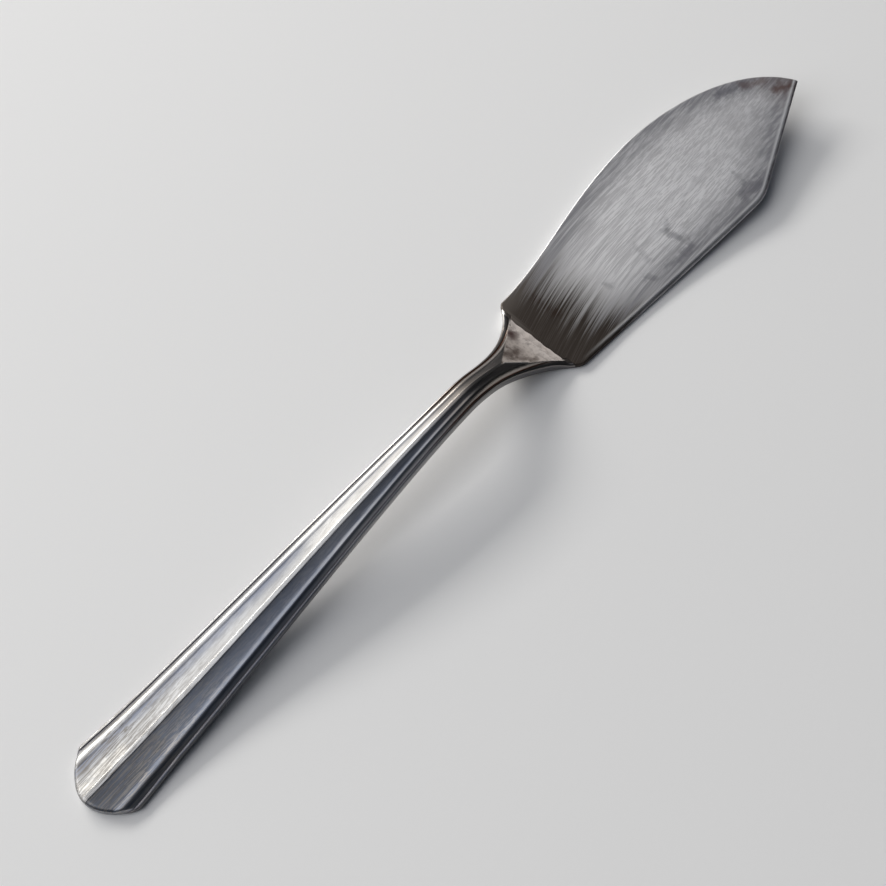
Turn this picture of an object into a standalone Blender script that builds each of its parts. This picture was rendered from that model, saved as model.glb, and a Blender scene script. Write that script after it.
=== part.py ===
"""Butter knife: a fluted handle, a sheet blade let into its shoulder from below, and their braze.

Metres, +Z up. In the knife's own frame X runs from the handle's end to the blade's tip, Y = 0 is the
handle's centre line, +Y is the blade's spine side and Z = 0 is the table that the knife lies on.
"""

import math
from typing import NamedTuple

import bmesh
import bpy
from mathutils import Matrix, Vector
from mathutils.geometry import interpolate_bezier

MM = 0.001


class Side(NamedTuple):
    """One long side of the handle: its shoulder's half width at the heel, and its end corner's round."""

    shoulder_half: float
    end_round: float


class Relief(NamedTuple):
    """Heights of the handle's struck face above its plain back, and the widths of its parts."""

    rib: float
    crease: float
    bead: float
    rim: float
    rib_width: float
    bead_inside: float
    bead_outside: float
    groove_width: float
    rim_width: float


# Lengths along the knife, where the heel is the line through the blade's two back corners
HANDLE_LENGTH = 109.0 * MM
BLADE_LENGTH = 71.0 * MM
NECK_LENGTH = 26.5 * MM
NECK_BLEND = 8.0 * MM

# Handle from above
END_WIDTH = 14.0 * MM
NECK_WIDTH = 5.0 * MM
END_ARCH = 5.0 * MM
END_LEAN = 0.25 * MM
END_FADE = 16.0 * MM
SWEEP_LENGTH = 16.6 * MM
SWEEP_RADIUS = 18.0 * MM
SPINE_SIDE = Side(shoulder_half=9.8 * MM, end_round=0.4 * MM)
EDGE_SIDE = Side(shoulder_half=8.9 * MM, end_round=0.8 * MM)

# Handle's struck face: a rib, two flutes, and a bead, groove and rim along each side
END_RELIEF = Relief(
    rib=2.15 * MM,
    crease=1.6 * MM,
    bead=1.65 * MM,
    rim=1.1 * MM,
    rib_width=0.8 * MM,
    bead_inside=0.6 * MM,
    bead_outside=1.2 * MM,
    groove_width=0.35 * MM,
    rim_width=0.4 * MM,
)
NECK_RELIEF = Relief(
    rib=2.85 * MM,
    crease=2.6 * MM,
    bead=2.65 * MM,
    rim=2.0 * MM,
    rib_width=0.55 * MM,
    bead_inside=0.28 * MM,
    bead_outside=0.77 * MM,
    groove_width=0.3 * MM,
    rim_width=0.25 * MM,
)
RIB_STEP = 0.1 * MM
RIB_DRAFT = 0.06 * MM
GROOVE_DEPTH = 0.2 * MM
HEEL_RIM_WIDTH = 0.8 * MM
RIM_STEP = 0.15 * MM
EDGE_ROUND = 0.18 * MM
LIP_LENGTH = 0.9 * MM
LIP_DROP = 0.6 * MM

# Side view: the handle arches off the table and comes down again at the heel
ARCH_HEIGHT = 7.6 * MM
ARCH_BACK = 22.0 * MM
FOOT_BACK = 0.5 * MM
RAMP_ANGLE = math.radians(29.0)

# Blade, with places measured from the heel and the handle's centre line
HEEL_THICKNESS = 1.1 * MM
TIP_THICKNESS = 0.8 * MM
BLADE_EDGE_ROUND = 0.3 * MM
HEEL_FLAT = 10.0 * MM
TIP_RISE = 6.0 * MM
TIP_OFFSET = -2.4 * MM
SPINE_PEAK = Vector((39.4 * MM, 14.4 * MM))
SPINE_HEEL_PULL = Vector((13.5 * MM, 0.3 * MM))
SPINE_PEAK_PULL = Vector((16.5 * MM, 0.0))
SPINE_FALL_PULL = Vector((11.5 * MM, 0.0))
SPINE_TIP_PULL = Vector((-4.0 * MM, 11.8 * MM))
EDGE_CORNER = Vector((48.4 * MM, -12.4 * MM))
EDGE_CORNER_RADIUS = 9.0 * MM
EDGE_THICKNESS = 0.7 * MM
EDGE_BEVEL = 0.8 * MM
EDGE_BEVEL_FADE = 14.0 * MM
TIP_RADIUS = 0.4 * MM

# Joint: the tongue lies in a pocket under the shoulder, whose sides run on as far as the blade's heel
CREASE_SETBACK = 1.2 * MM
HEEL_SETBACK = 0.5 * MM
TONGUE_LENGTH = 6.5 * MM
TONGUE_INSET = 1.4 * MM
JOINT_GAP = 0.3 * MM
BRAZE_CLEARANCE = 0.1 * MM
NOSE_SETBACK = 1.3 * MM

# Fineness of the meshes
LIP_STEPS = 4
EDGE_STEPS = 2
TAPER_STEPS = 30
NECK_STEPS = 30
FLUTE_STEPS = 5
BEAD_STEPS = 3
OUTLINE_STEPS = 16
ARC_STEPS = 6
BLADE_STEP = 4.0 * MM
TONGUE_STEP = 1.25 * MM
SLOPE_STEP = 0.05 * MM
SHARP_ANGLE = math.radians(25.0)
FLAT_ANGLE = math.radians(1.0)
WELD = 0.001 * MM
CUT_MARGIN = 20.0 * MM

# Places that follow from the sizes above
HEEL_X = HANDLE_LENGTH
TIP_X = HEEL_X + BLADE_LENGTH
NECK_X = HEEL_X - NECK_LENGTH
SWEEP_X = HEEL_X - SWEEP_LENGTH
ARCH_X = HEEL_X - ARCH_BACK
FOOT_X = HEEL_X - FOOT_BACK
CREASE_X = HEEL_X - CREASE_SETBACK
NOSE_X = CREASE_X - NOSE_SETBACK
TONGUE_X = CREASE_X - TONGUE_LENGTH
STEP_X = HEEL_X - HEEL_SETBACK
HORN_X = STEP_X - JOINT_GAP
POCKET_X = TONGUE_X - JOINT_GAP
POCKET_INSET = TONGUE_INSET - JOINT_GAP

SILVER_PLATE = {"colour": (0.62, 0.62, 0.63, 1.0), "roughness": 0.28}
WORN_PLATE = {"colour": (0.46, 0.45, 0.45, 1.0), "roughness": 0.42}
BRAZE_METAL = {"colour": (0.42, 0.38, 0.35, 1.0), "roughness": 0.5}


def clamp(value):
    """Keep a fraction between 0 and 1."""
    return min(1.0, max(0.0, value))


def lerp(start, end, fraction):
    """Go from start to end by a fraction."""
    return start + (end - start) * fraction


def smooth(fraction):
    """Ease from 0 to 1 with level ends."""
    held = clamp(fraction)
    return held * held * (3.0 - 2.0 * held)


def spaced(start, end, steps):
    """Places from start to end, both included."""
    return [lerp(start, end, index / steps) for index in range(steps + 1)]


def taper_half(x):
    """Half width of the handle without its shoulders: a straight taper that runs into the neck."""
    before_neck = NECK_X - x
    slope = (END_WIDTH - NECK_WIDTH) / 2.0 / NECK_X
    return NECK_WIDTH / 2.0 + slope * (before_neck + math.hypot(before_neck, NECK_BLEND)) / 2.0


def round_left(fraction):
    """Share of a quarter round that is left, from 1 where it starts to 0 where it ends."""
    return 1.0 - math.sqrt(1.0 - (1.0 - clamp(fraction)) ** 2)


def sweep_rise(along):
    """Rise of an oval arc that starts level, as a share of its height."""
    return 1.0 - math.sqrt(1.0 - (along / SWEEP_RADIUS) ** 2)


def flare(x, side):
    """How far the shoulder stands out beyond the neck on one side."""
    reach = side.shoulder_half - taper_half(HEEL_X)
    return reach * sweep_rise(max(0.0, x - SWEEP_X)) / sweep_rise(SWEEP_LENGTH)


def half_width(x, side):
    """Half width on one side, with its rounded end corner and its shoulder."""
    return taper_half(x) + flare(x, side) - side.end_round * round_left(x / side.end_round)


def shoulder_stretch(x, side):
    """How much longer the shoulder's outline is at a place than its X."""
    slope = (flare(x + SLOPE_STEP, side) - flare(x - SLOPE_STEP, side)) / (2.0 * SLOPE_STEP)
    return math.hypot(1.0, slope)


def underside(x):
    """Height of the handle's back and the tongue's back above the table."""
    if x < ARCH_X:
        return ARCH_HEIGHT * smooth(x / ARCH_X)
    return ARCH_HEIGHT * (1.0 - smooth((x - ARCH_X) / (FOOT_X - ARCH_X)))


def tongue_face(x):
    """Height of the tongue's upper face, which follows the shoulder's back."""
    return underside(x) + HEEL_THICKNESS


def relief_at(x):
    """The struck face's sizes between the handle's end and the neck."""
    fraction = clamp(x / NECK_X)
    return Relief(*(lerp(end, neck, fraction) for end, neck in zip(END_RELIEF, NECK_RELIEF)))


def rim_height(x):
    """Height of the rim above the back, which stays below the shoulder's slope."""
    return min(relief_at(x).rim, ramp_z(x) - underside(x) - RIM_STEP)


def face_profile(x, side):
    """The struck face on one side of the rib's middle, as (distance from the middle, height) outwards."""
    relief = relief_at(x)
    rim = rim_height(x)
    outer = half_width(x, side)
    stretch = shoulder_stretch(x, side)
    in_shoulder = smooth((x - SWEEP_X) / SWEEP_LENGTH)
    rim_inner = outer - lerp(relief.rim_width, HEEL_RIM_WIDTH, in_shoulder) * stretch
    groove_inner = rim_inner - relief.groove_width * stretch
    bead_y = groove_inner - relief.bead_outside * stretch
    crease_y = bead_y - relief.bead_inside * stretch
    rib_edge = relief.rib_width / 2.0
    foot = Vector((rib_edge + RIB_DRAFT, relief.rib - RIB_STEP))
    points = [(rib_edge, relief.rib)]
    for fraction in spaced(1.0, 0.0, FLUTE_STEPS):
        points.append((lerp(crease_y, foot.x, fraction), lerp(relief.crease, foot.y, fraction**2)))
    for fraction in spaced(1.0, 0.0, BEAD_STEPS)[1:]:
        points.append((lerp(bead_y, crease_y, fraction), lerp(relief.bead, relief.crease, fraction**2)))
    for fraction in spaced(0.0, 1.0, BEAD_STEPS)[1:]:
        points.append((lerp(bead_y, groove_inner, fraction), lerp(relief.bead, rim, fraction**2)))
    points.append(((rim_inner + groove_inner) / 2.0, rim - GROOVE_DEPTH))
    points.append((rim_inner, rim))
    for step in range(EDGE_STEPS + 1):
        turn = step / EDGE_STEPS * math.pi / 2.0
        y = outer - EDGE_ROUND * (1.0 - math.sin(turn))
        points.append((y, rim - EDGE_ROUND * (1.0 - math.cos(turn))))
    return points


def handle_section(x):
    """Face and back rows of one section, from the blade's edge side to its spine side."""
    edge = face_profile(x, EDGE_SIDE)
    spine = face_profile(x, SPINE_SIDE)
    middle = [(0.0, relief_at(x).rib)]
    face = [(-y, z) for y, z in reversed(edge)] + middle + spine
    lip_share = round_left(x / LIP_LENGTH)
    end_share = 1.0 - smooth(x / END_FADE)
    base = underside(x)
    face_row = []
    back_row = []
    for y, z in face:
        out_from_side = (edge[-1][0] if y < 0.0 else spine[-1][0]) - abs(y)
        back_round = EDGE_ROUND * round_left(out_from_side / EDGE_ROUND)
        across = y / taper_half(x)
        place = x + end_share * (END_ARCH * across**2 + END_LEAN * across)
        face_row.append(Vector((place, y, base + z - LIP_DROP * lip_share)))
        back_row.append(Vector((place, y, base + back_round + EDGE_ROUND * lip_share)))
    return face_row, back_row


def handle_stations():
    """Places along the handle where it has a section."""
    lip = [LIP_LENGTH * (1.0 - math.cos(step / LIP_STEPS * math.pi / 2.0)) for step in range(LIP_STEPS)]
    taper = spaced(LIP_LENGTH, NECK_X, TAPER_STEPS)
    neck = spaced(NECK_X, HORN_X, NECK_STEPS)
    return lip + taper + neck[1:]


def new_object(name, mesh, collection):
    """Put a mesh in a collection as a named object on the knife's frame."""
    piece = bpy.data.objects.new(name, mesh)
    collection.objects.link(piece)
    piece.parent = knife_frame
    return piece


def mesh_from(name, bm):
    """Turn a working mesh into mesh data with its faces pointing out."""
    bmesh.ops.recalc_face_normals(bm, faces=bm.faces)
    mesh = bpy.data.meshes.new(name)
    bm.to_mesh(mesh)
    bm.free()
    mesh.shade_smooth()
    mesh.set_sharp_from_angle(angle=SHARP_ANGLE)
    return mesh


def loft_handle():
    """Loft the handle through its sections, and close both ends between the face and the back."""
    bm = bmesh.new()
    rows = []
    for x in handle_stations():
        face_row, back_row = handle_section(x)
        rows.append([bm.verts.new(point) for point in face_row + back_row[::-1]])
    count = len(rows[0])
    for row, following in zip(rows, rows[1:]):
        for index in range(count):
            beside = (index + 1) % count
            bm.faces.new((row[index], row[beside], following[beside], following[index]))
    for row in (rows[0], rows[-1]):
        for index in range(count // 2 - 1):
            bm.faces.new((row[index], row[index + 1], row[count - 2 - index], row[count - 1 - index]))
    return mesh_from("handle", bm)


def plate_mesh(name, outline, thickness, edge_round):
    """A flat plate of a closed outline, standing on z = 0, with its edges rounded."""
    curve = bpy.data.curves.new(name, "CURVE")
    curve.dimensions = "2D"
    curve.fill_mode = "BOTH"
    curve.extrude = thickness / 2.0 - edge_round
    curve.bevel_depth = edge_round
    curve.bevel_resolution = 1
    curve.offset = -edge_round
    spline = curve.splines.new("POLY")
    spline.points.add(len(outline) - 1)
    spline.use_cyclic_u = True
    for point, place in zip(spline.points, outline):
        point.co = (place[0], place[1], 0.0, 1.0)
    drawn = bpy.data.objects.new(name, curve)
    bpy.context.scene.collection.objects.link(drawn)
    depsgraph = bpy.context.evaluated_depsgraph_get()
    mesh = bpy.data.meshes.new_from_object(drawn.evaluated_get(depsgraph))
    bpy.data.objects.remove(drawn)
    bpy.data.curves.remove(curve)
    mesh.transform(Matrix.Translation((0.0, 0.0, thickness / 2.0)))
    return mesh


def rounded_corner(before, corner, after, radius):
    """Arc points that round off a corner between two straight runs."""
    to_before = (before - corner).normalized()
    to_after = (after - corner).normalized()
    half_angle = to_before.angle(to_after) / 2.0
    centre = corner + (to_before + to_after).normalized() * radius / math.sin(half_angle)
    start = corner + to_before * radius / math.tan(half_angle) - centre
    end = corner + to_after * radius / math.tan(half_angle) - centre
    return [centre + start.slerp(end, step / ARC_STEPS) * radius for step in range(ARC_STEPS + 1)]


def inset_half(x, side, inset):
    """Half width on one side of a line inside the outline, with its inset measured square to it."""
    return half_width(x, side) - inset * shoulder_stretch(x, side)


def shoulder_run(start_x, end_x, side, inset):
    """The shoulder's outline on one side, a little inside, between two places along the knife."""
    sign = 1.0 if side is SPINE_SIDE else -1.0
    return [Vector((x, sign * inset_half(x, side, inset))) for x in spaced(start_x, end_x, ARC_STEPS)]


def tongue_run(side):
    """The tongue's outline on one side, with the step out to the heel's full width."""
    return shoulder_run(TONGUE_X, STEP_X, side, TONGUE_INSET) + shoulder_run(STEP_X, HEEL_X, side, 0.0)


def cutting_edge():
    """The ends of the blade's straight edge: its heel corner and the corner before the clipped point."""
    return Vector((HEEL_X, -EDGE_SIDE.shoulder_half)), Vector((HEEL_X, 0.0)) + EDGE_CORNER


def blade_outline():
    """The blade from above with its tongue: up the spine side, round the tip and back along the edge."""
    heel_spine = Vector((HEEL_X, SPINE_SIDE.shoulder_half))
    peak = Vector((HEEL_X, 0.0)) + SPINE_PEAK
    tip = Vector((TIP_X, TIP_OFFSET))
    heel_edge, corner = cutting_edge()
    rise = interpolate_bezier(
        heel_spine, heel_spine + SPINE_HEEL_PULL, peak - SPINE_PEAK_PULL, peak, OUTLINE_STEPS
    )
    fall = interpolate_bezier(peak, peak + SPINE_FALL_PULL, tip + SPINE_TIP_PULL, tip, OUTLINE_STEPS)
    outline = tongue_run(SPINE_SIDE)
    outline += rise[1:] + fall[1:-1]
    outline += rounded_corner(fall[-2], tip, corner, TIP_RADIUS)
    outline += rounded_corner(tip, corner, heel_edge, EDGE_CORNER_RADIUS)
    outline += tongue_run(EDGE_SIDE)[::-1]
    return outline


def blade_faces(x, y):
    """Heights of the blade's back and face: tongue, flat heel, sweep up to the tip and bevelled edge."""
    if x < HEEL_X:
        return underside(x), tongue_face(x)
    sweep_x = HEEL_X + HEEL_FLAT
    back = TIP_RISE * clamp((x - sweep_x) / (TIP_X - sweep_x)) ** 2
    thickness = lerp(HEEL_THICKNESS, TIP_THICKNESS, clamp((x - HEEL_X) / BLADE_LENGTH))
    heel_edge, corner = cutting_edge()
    inside = (corner - heel_edge).normalized().cross(Vector((x, y)) - heel_edge)
    bevel_share = (1.0 - clamp(inside / EDGE_BEVEL)) * smooth((x - HEEL_X) / EDGE_BEVEL_FADE)
    return back, back + lerp(thickness, EDGE_THICKNESS, bevel_share)


def slice_mesh(bm, point, normal):
    """Add the edges where a plane crosses the mesh."""
    everything = bm.verts[:] + bm.edges[:] + bm.faces[:]
    bmesh.ops.bisect_plane(bm, geom=everything, plane_co=point, plane_no=normal, dist=WELD)


def shape_blade():
    """Slice the flat plate along its length and along its bevel, and bring each slice to its heights."""
    bm = bmesh.new()
    bm.from_mesh(plate_mesh("blade_plate", blade_outline(), HEEL_THICKNESS, BLADE_EDGE_ROUND))
    bmesh.ops.remove_doubles(bm, verts=bm.verts, dist=WELD)
    bmesh.ops.dissolve_limit(bm, angle_limit=FLAT_ANGLE, verts=bm.verts, edges=bm.edges)
    strips = math.ceil(BLADE_LENGTH / BLADE_STEP)
    tongue_strips = math.ceil(TONGUE_LENGTH / TONGUE_STEP)
    cuts = spaced(TONGUE_X, HEEL_X, tongue_strips)[1:] + spaced(HEEL_X, TIP_X, strips)[1:-1]
    for x in cuts + [FOOT_X, HEEL_X + HEEL_FLAT]:
        slice_mesh(bm, (x, 0.0, 0.0), (1.0, 0.0, 0.0))
    heel_edge, corner = cutting_edge()
    inward = (corner - heel_edge).normalized().orthogonal()
    slice_mesh(bm, (heel_edge + inward * EDGE_BEVEL).to_3d(), inward.to_3d())
    for vert in bm.verts:
        back, face = blade_faces(vert.co.x, vert.co.y)
        vert.co.z = lerp(back, face, vert.co.z / HEEL_THICKNESS)
    return mesh_from("blade", bm)


def ramp_z(x):
    """Height of the shoulder's sloping face, which comes down to the blade's face at the crease."""
    return tongue_face(CREASE_X) + (CREASE_X - x) * math.tan(RAMP_ANGLE)


def prism_mesh(name, side):
    """A closed side view, as (x, z) points, drawn out across the whole shoulder."""
    bm = bmesh.new()
    bm.from_mesh(plate_mesh(name, side, 2.0 * CUT_MARGIN, 0.0))
    bmesh.ops.remove_doubles(bm, verts=bm.verts, dist=WELD)
    centred = Matrix.Translation((0.0, 0.0, -CUT_MARGIN))
    bm.transform(Matrix.Rotation(math.pi / 2.0, 4, "X") @ centred)
    return mesh_from(name, bm)


def lap_run(start_x, end_x, above_tongue):
    """A run of side points that keeps its distance above the tongue's upper face."""
    return [(x, tongue_face(x) + above_tongue) for x in spaced(start_x, end_x, ARC_STEPS)]


def ramp_side():
    """The space above the shoulder's sloping face."""
    back = NECK_X
    return [(back, ramp_z(back)), (HEEL_X, ramp_z(HEEL_X)), (HEEL_X, CUT_MARGIN), (back, CUT_MARGIN)]


def pocket_side():
    """The pocket under the shoulder that the tongue lies in, open above it in front of the nose."""
    front = HEEL_X + CUT_MARGIN
    opening = [(NOSE_X, CUT_MARGIN), (front, CUT_MARGIN), (front, -CUT_MARGIN), (POCKET_X, -CUT_MARGIN)]
    return lap_run(POCKET_X, NOSE_X, JOINT_GAP) + opening


def braze_side():
    """A film in the lap, with a bead that fills the corner up to the crease."""
    back = TONGUE_X + BRAZE_CLEARANCE
    bead_back = NOSE_X + BRAZE_CLEARANCE
    bead_front = CREASE_X - BRAZE_CLEARANCE / math.tan(RAMP_ANGLE)
    film_top = lap_run(back, bead_back, JOINT_GAP - BRAZE_CLEARANCE)
    return lap_run(back, bead_front, BRAZE_CLEARANCE) + [(bead_back, ramp_z(bead_back))] + film_top[::-1]


def outline_mesh(name, start_x, end_x, inset):
    """The shoulder's outline between two places, a little inside, as a block that trims other cutters."""
    outline = shoulder_run(start_x, end_x, SPINE_SIDE, inset)
    outline += shoulder_run(start_x, end_x, EDGE_SIDE, inset)[::-1]
    bm = bmesh.new()
    bm.from_mesh(plate_mesh(name, outline, CUT_MARGIN, 0.0))
    bmesh.ops.remove_doubles(bm, verts=bm.verts, dist=WELD)
    bmesh.ops.translate(bm, verts=bm.verts, vec=(0.0, 0.0, -CUT_MARGIN / 2.0))
    return mesh_from(name, bm)


def cut(piece, cutter_name, cutter_mesh, operation):
    """Cut a piece with a hidden cutter, and give the cutter."""
    cutter = new_object(cutter_name, cutter_mesh, cutters)
    cutter.hide_render = True
    cutter.display_type = "WIRE"
    modifier = piece.modifiers.new(cutter_name, "BOOLEAN")
    modifier.operation = operation
    modifier.solver = "EXACT"
    modifier.object = cutter
    return cutter


def metal(name, colour, roughness):
    """A metal with its own colour and roughness."""
    material = bpy.data.materials.new(name)
    material.use_nodes = True
    shader = material.node_tree.nodes["Principled BSDF"]
    shader.inputs["Base Color"].default_value = colour
    shader.inputs["Roughness"].default_value = roughness
    shader.inputs["Metallic"].default_value = 1.0
    return material


def new_collection(name):
    """A collection in the scene."""
    collection = bpy.data.collections.new(name)
    bpy.context.scene.collection.children.link(collection)
    return collection


for old in list(bpy.data.objects):
    bpy.data.objects.remove(old)

knife = new_collection("butter_knife")
cutters = new_collection("cutters")

# The frame's origin is under the middle of the knife's box, on the table
tip_reach = max(point.x for point in blade_outline())
side_reach = [point.y for point in blade_outline()]
knife_frame = bpy.data.objects.new("knife_frame", None)
knife_frame.location = (-tip_reach / 2.0, -(max(side_reach) + min(side_reach)) / 2.0, 0.0)
knife.objects.link(knife_frame)

handle = new_object("handle", loft_handle(), knife)
cut(handle, "ramp_cutter", prism_mesh("ramp_cutter", ramp_side()), "DIFFERENCE")
pocket = cut(handle, "pocket_cutter", prism_mesh("pocket_cutter", pocket_side()), "DIFFERENCE")
cut(pocket, "pocket_outline", outline_mesh("pocket_outline", POCKET_X, HEEL_X, POCKET_INSET), "INTERSECT")
handle.data.materials.append(metal("silver_plate", **SILVER_PLATE))

blade = new_object("blade", shape_blade(), knife)
blade.data.materials.append(metal("worn_plate", **WORN_PLATE))

braze_seam = new_object("braze_seam", prism_mesh("braze_seam", braze_side()), knife)
braze_outline = outline_mesh("braze_outline", TONGUE_X, CREASE_X, POCKET_INSET + BRAZE_CLEARANCE)
cut(braze_seam, "braze_outline", braze_outline, "INTERSECT")
braze_seam.data.materials.append(metal("braze_metal", **BRAZE_METAL))
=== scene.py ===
"""Looks of the butter knife: fine meshes and worn-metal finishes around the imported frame.

Metres throughout, +Z up. The shapes below are written in the knife's own frame: X runs from the
handle's end to the blade's tip, Y = 0 is the handle's centre line with the spine on +Y, and Z = 0
is the table.
"""

from __future__ import annotations

import logging
import math
from dataclasses import astuple, dataclass, field, replace
from enum import Enum
from typing import Sequence

import bmesh
import bpy
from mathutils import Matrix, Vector
from mathutils.geometry import interpolate_bezier

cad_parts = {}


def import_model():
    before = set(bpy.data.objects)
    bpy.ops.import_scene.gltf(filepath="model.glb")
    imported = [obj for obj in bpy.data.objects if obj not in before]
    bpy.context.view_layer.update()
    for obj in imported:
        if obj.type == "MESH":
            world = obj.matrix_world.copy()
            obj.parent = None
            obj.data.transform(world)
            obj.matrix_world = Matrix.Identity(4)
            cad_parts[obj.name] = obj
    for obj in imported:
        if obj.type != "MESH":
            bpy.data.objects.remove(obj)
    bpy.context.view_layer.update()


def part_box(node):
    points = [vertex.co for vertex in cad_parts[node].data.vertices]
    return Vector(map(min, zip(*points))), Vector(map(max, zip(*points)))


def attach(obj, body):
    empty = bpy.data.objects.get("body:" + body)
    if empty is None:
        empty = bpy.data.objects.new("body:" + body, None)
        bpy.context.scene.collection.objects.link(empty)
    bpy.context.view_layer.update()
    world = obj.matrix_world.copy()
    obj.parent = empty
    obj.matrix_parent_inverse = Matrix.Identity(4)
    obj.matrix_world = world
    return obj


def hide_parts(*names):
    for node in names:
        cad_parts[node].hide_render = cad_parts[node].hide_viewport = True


LOG = logging.getLogger("butter_knife")
MM = 0.001
SLOPE_STEP = 0.05 * MM
Colour = tuple[float, float, float, float]
Point = tuple[float, float]
Material = bpy.types.Material
Node = bpy.types.Node
Object = bpy.types.Object
Socket = bpy.types.NodeSocket


class Side(Enum):
    """The knife's two long sides, with the sign of their Y."""

    SPINE = 1.0
    EDGE = -1.0


class Kind(Enum):
    """What a socket of a shader node group carries."""

    VALUE = "NodeSocketFloat"
    PLACE = "NodeSocketVector"


def clamp(value: float) -> float:
    """Keep a fraction between 0 and 1."""
    return min(1.0, max(0.0, value))


def lerp(start: float, end: float, fraction: float) -> float:
    """Go from start to end by a fraction."""
    return start + (end - start) * fraction


def smooth(fraction: float) -> float:
    """Ease from 0 to 1 with level ends."""
    held = clamp(fraction)
    return held * held * (3.0 - 2.0 * held)


def spaced(start: float, end: float, steps: int) -> list[float]:
    """Places from start to end, both included."""
    return [lerp(start, end, index / steps) for index in range(steps + 1)]


def soft_min(first: float, second: float, reach: float) -> float:
    """The lower of two heights, with the corner between them rounded over a reach."""
    share = clamp(0.5 + 0.5 * (second - first) / reach)
    return lerp(second, first, share) - reach * share * (1.0 - share)


def quarter_round(fraction: float) -> float:
    """Share of a quarter round's drop that is left, from 1 at its outer end to 0 where it ends."""
    return 1.0 - math.sqrt(1.0 - (1.0 - clamp(fraction)) ** 2)


def bent(start: Point, bend: Point, end: Point, fraction: float) -> Point:
    """The point at a fraction of a curve between two points that is drawn towards a bend.

    Args:
        start: Where the curve starts.
        bend: The point that it is drawn towards.
        end: Where it ends.
        fraction: How far along it the point lies.

    Returns:
        The point.
    """
    weights = ((1.0 - fraction) ** 2, 2.0 * fraction * (1.0 - fraction), fraction**2)
    corners = (start, bend, end)
    y = sum(weight * corner[0] for weight, corner in zip(weights, corners))
    return y, sum(weight * corner[1] for weight, corner in zip(weights, corners))


@dataclass(frozen=True)
class LongSide:
    """One long side: its shoulder's half width at the heel, and the rounds of its two corners."""

    shoulder_half: float
    end_round: float
    heel_round: float


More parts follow.
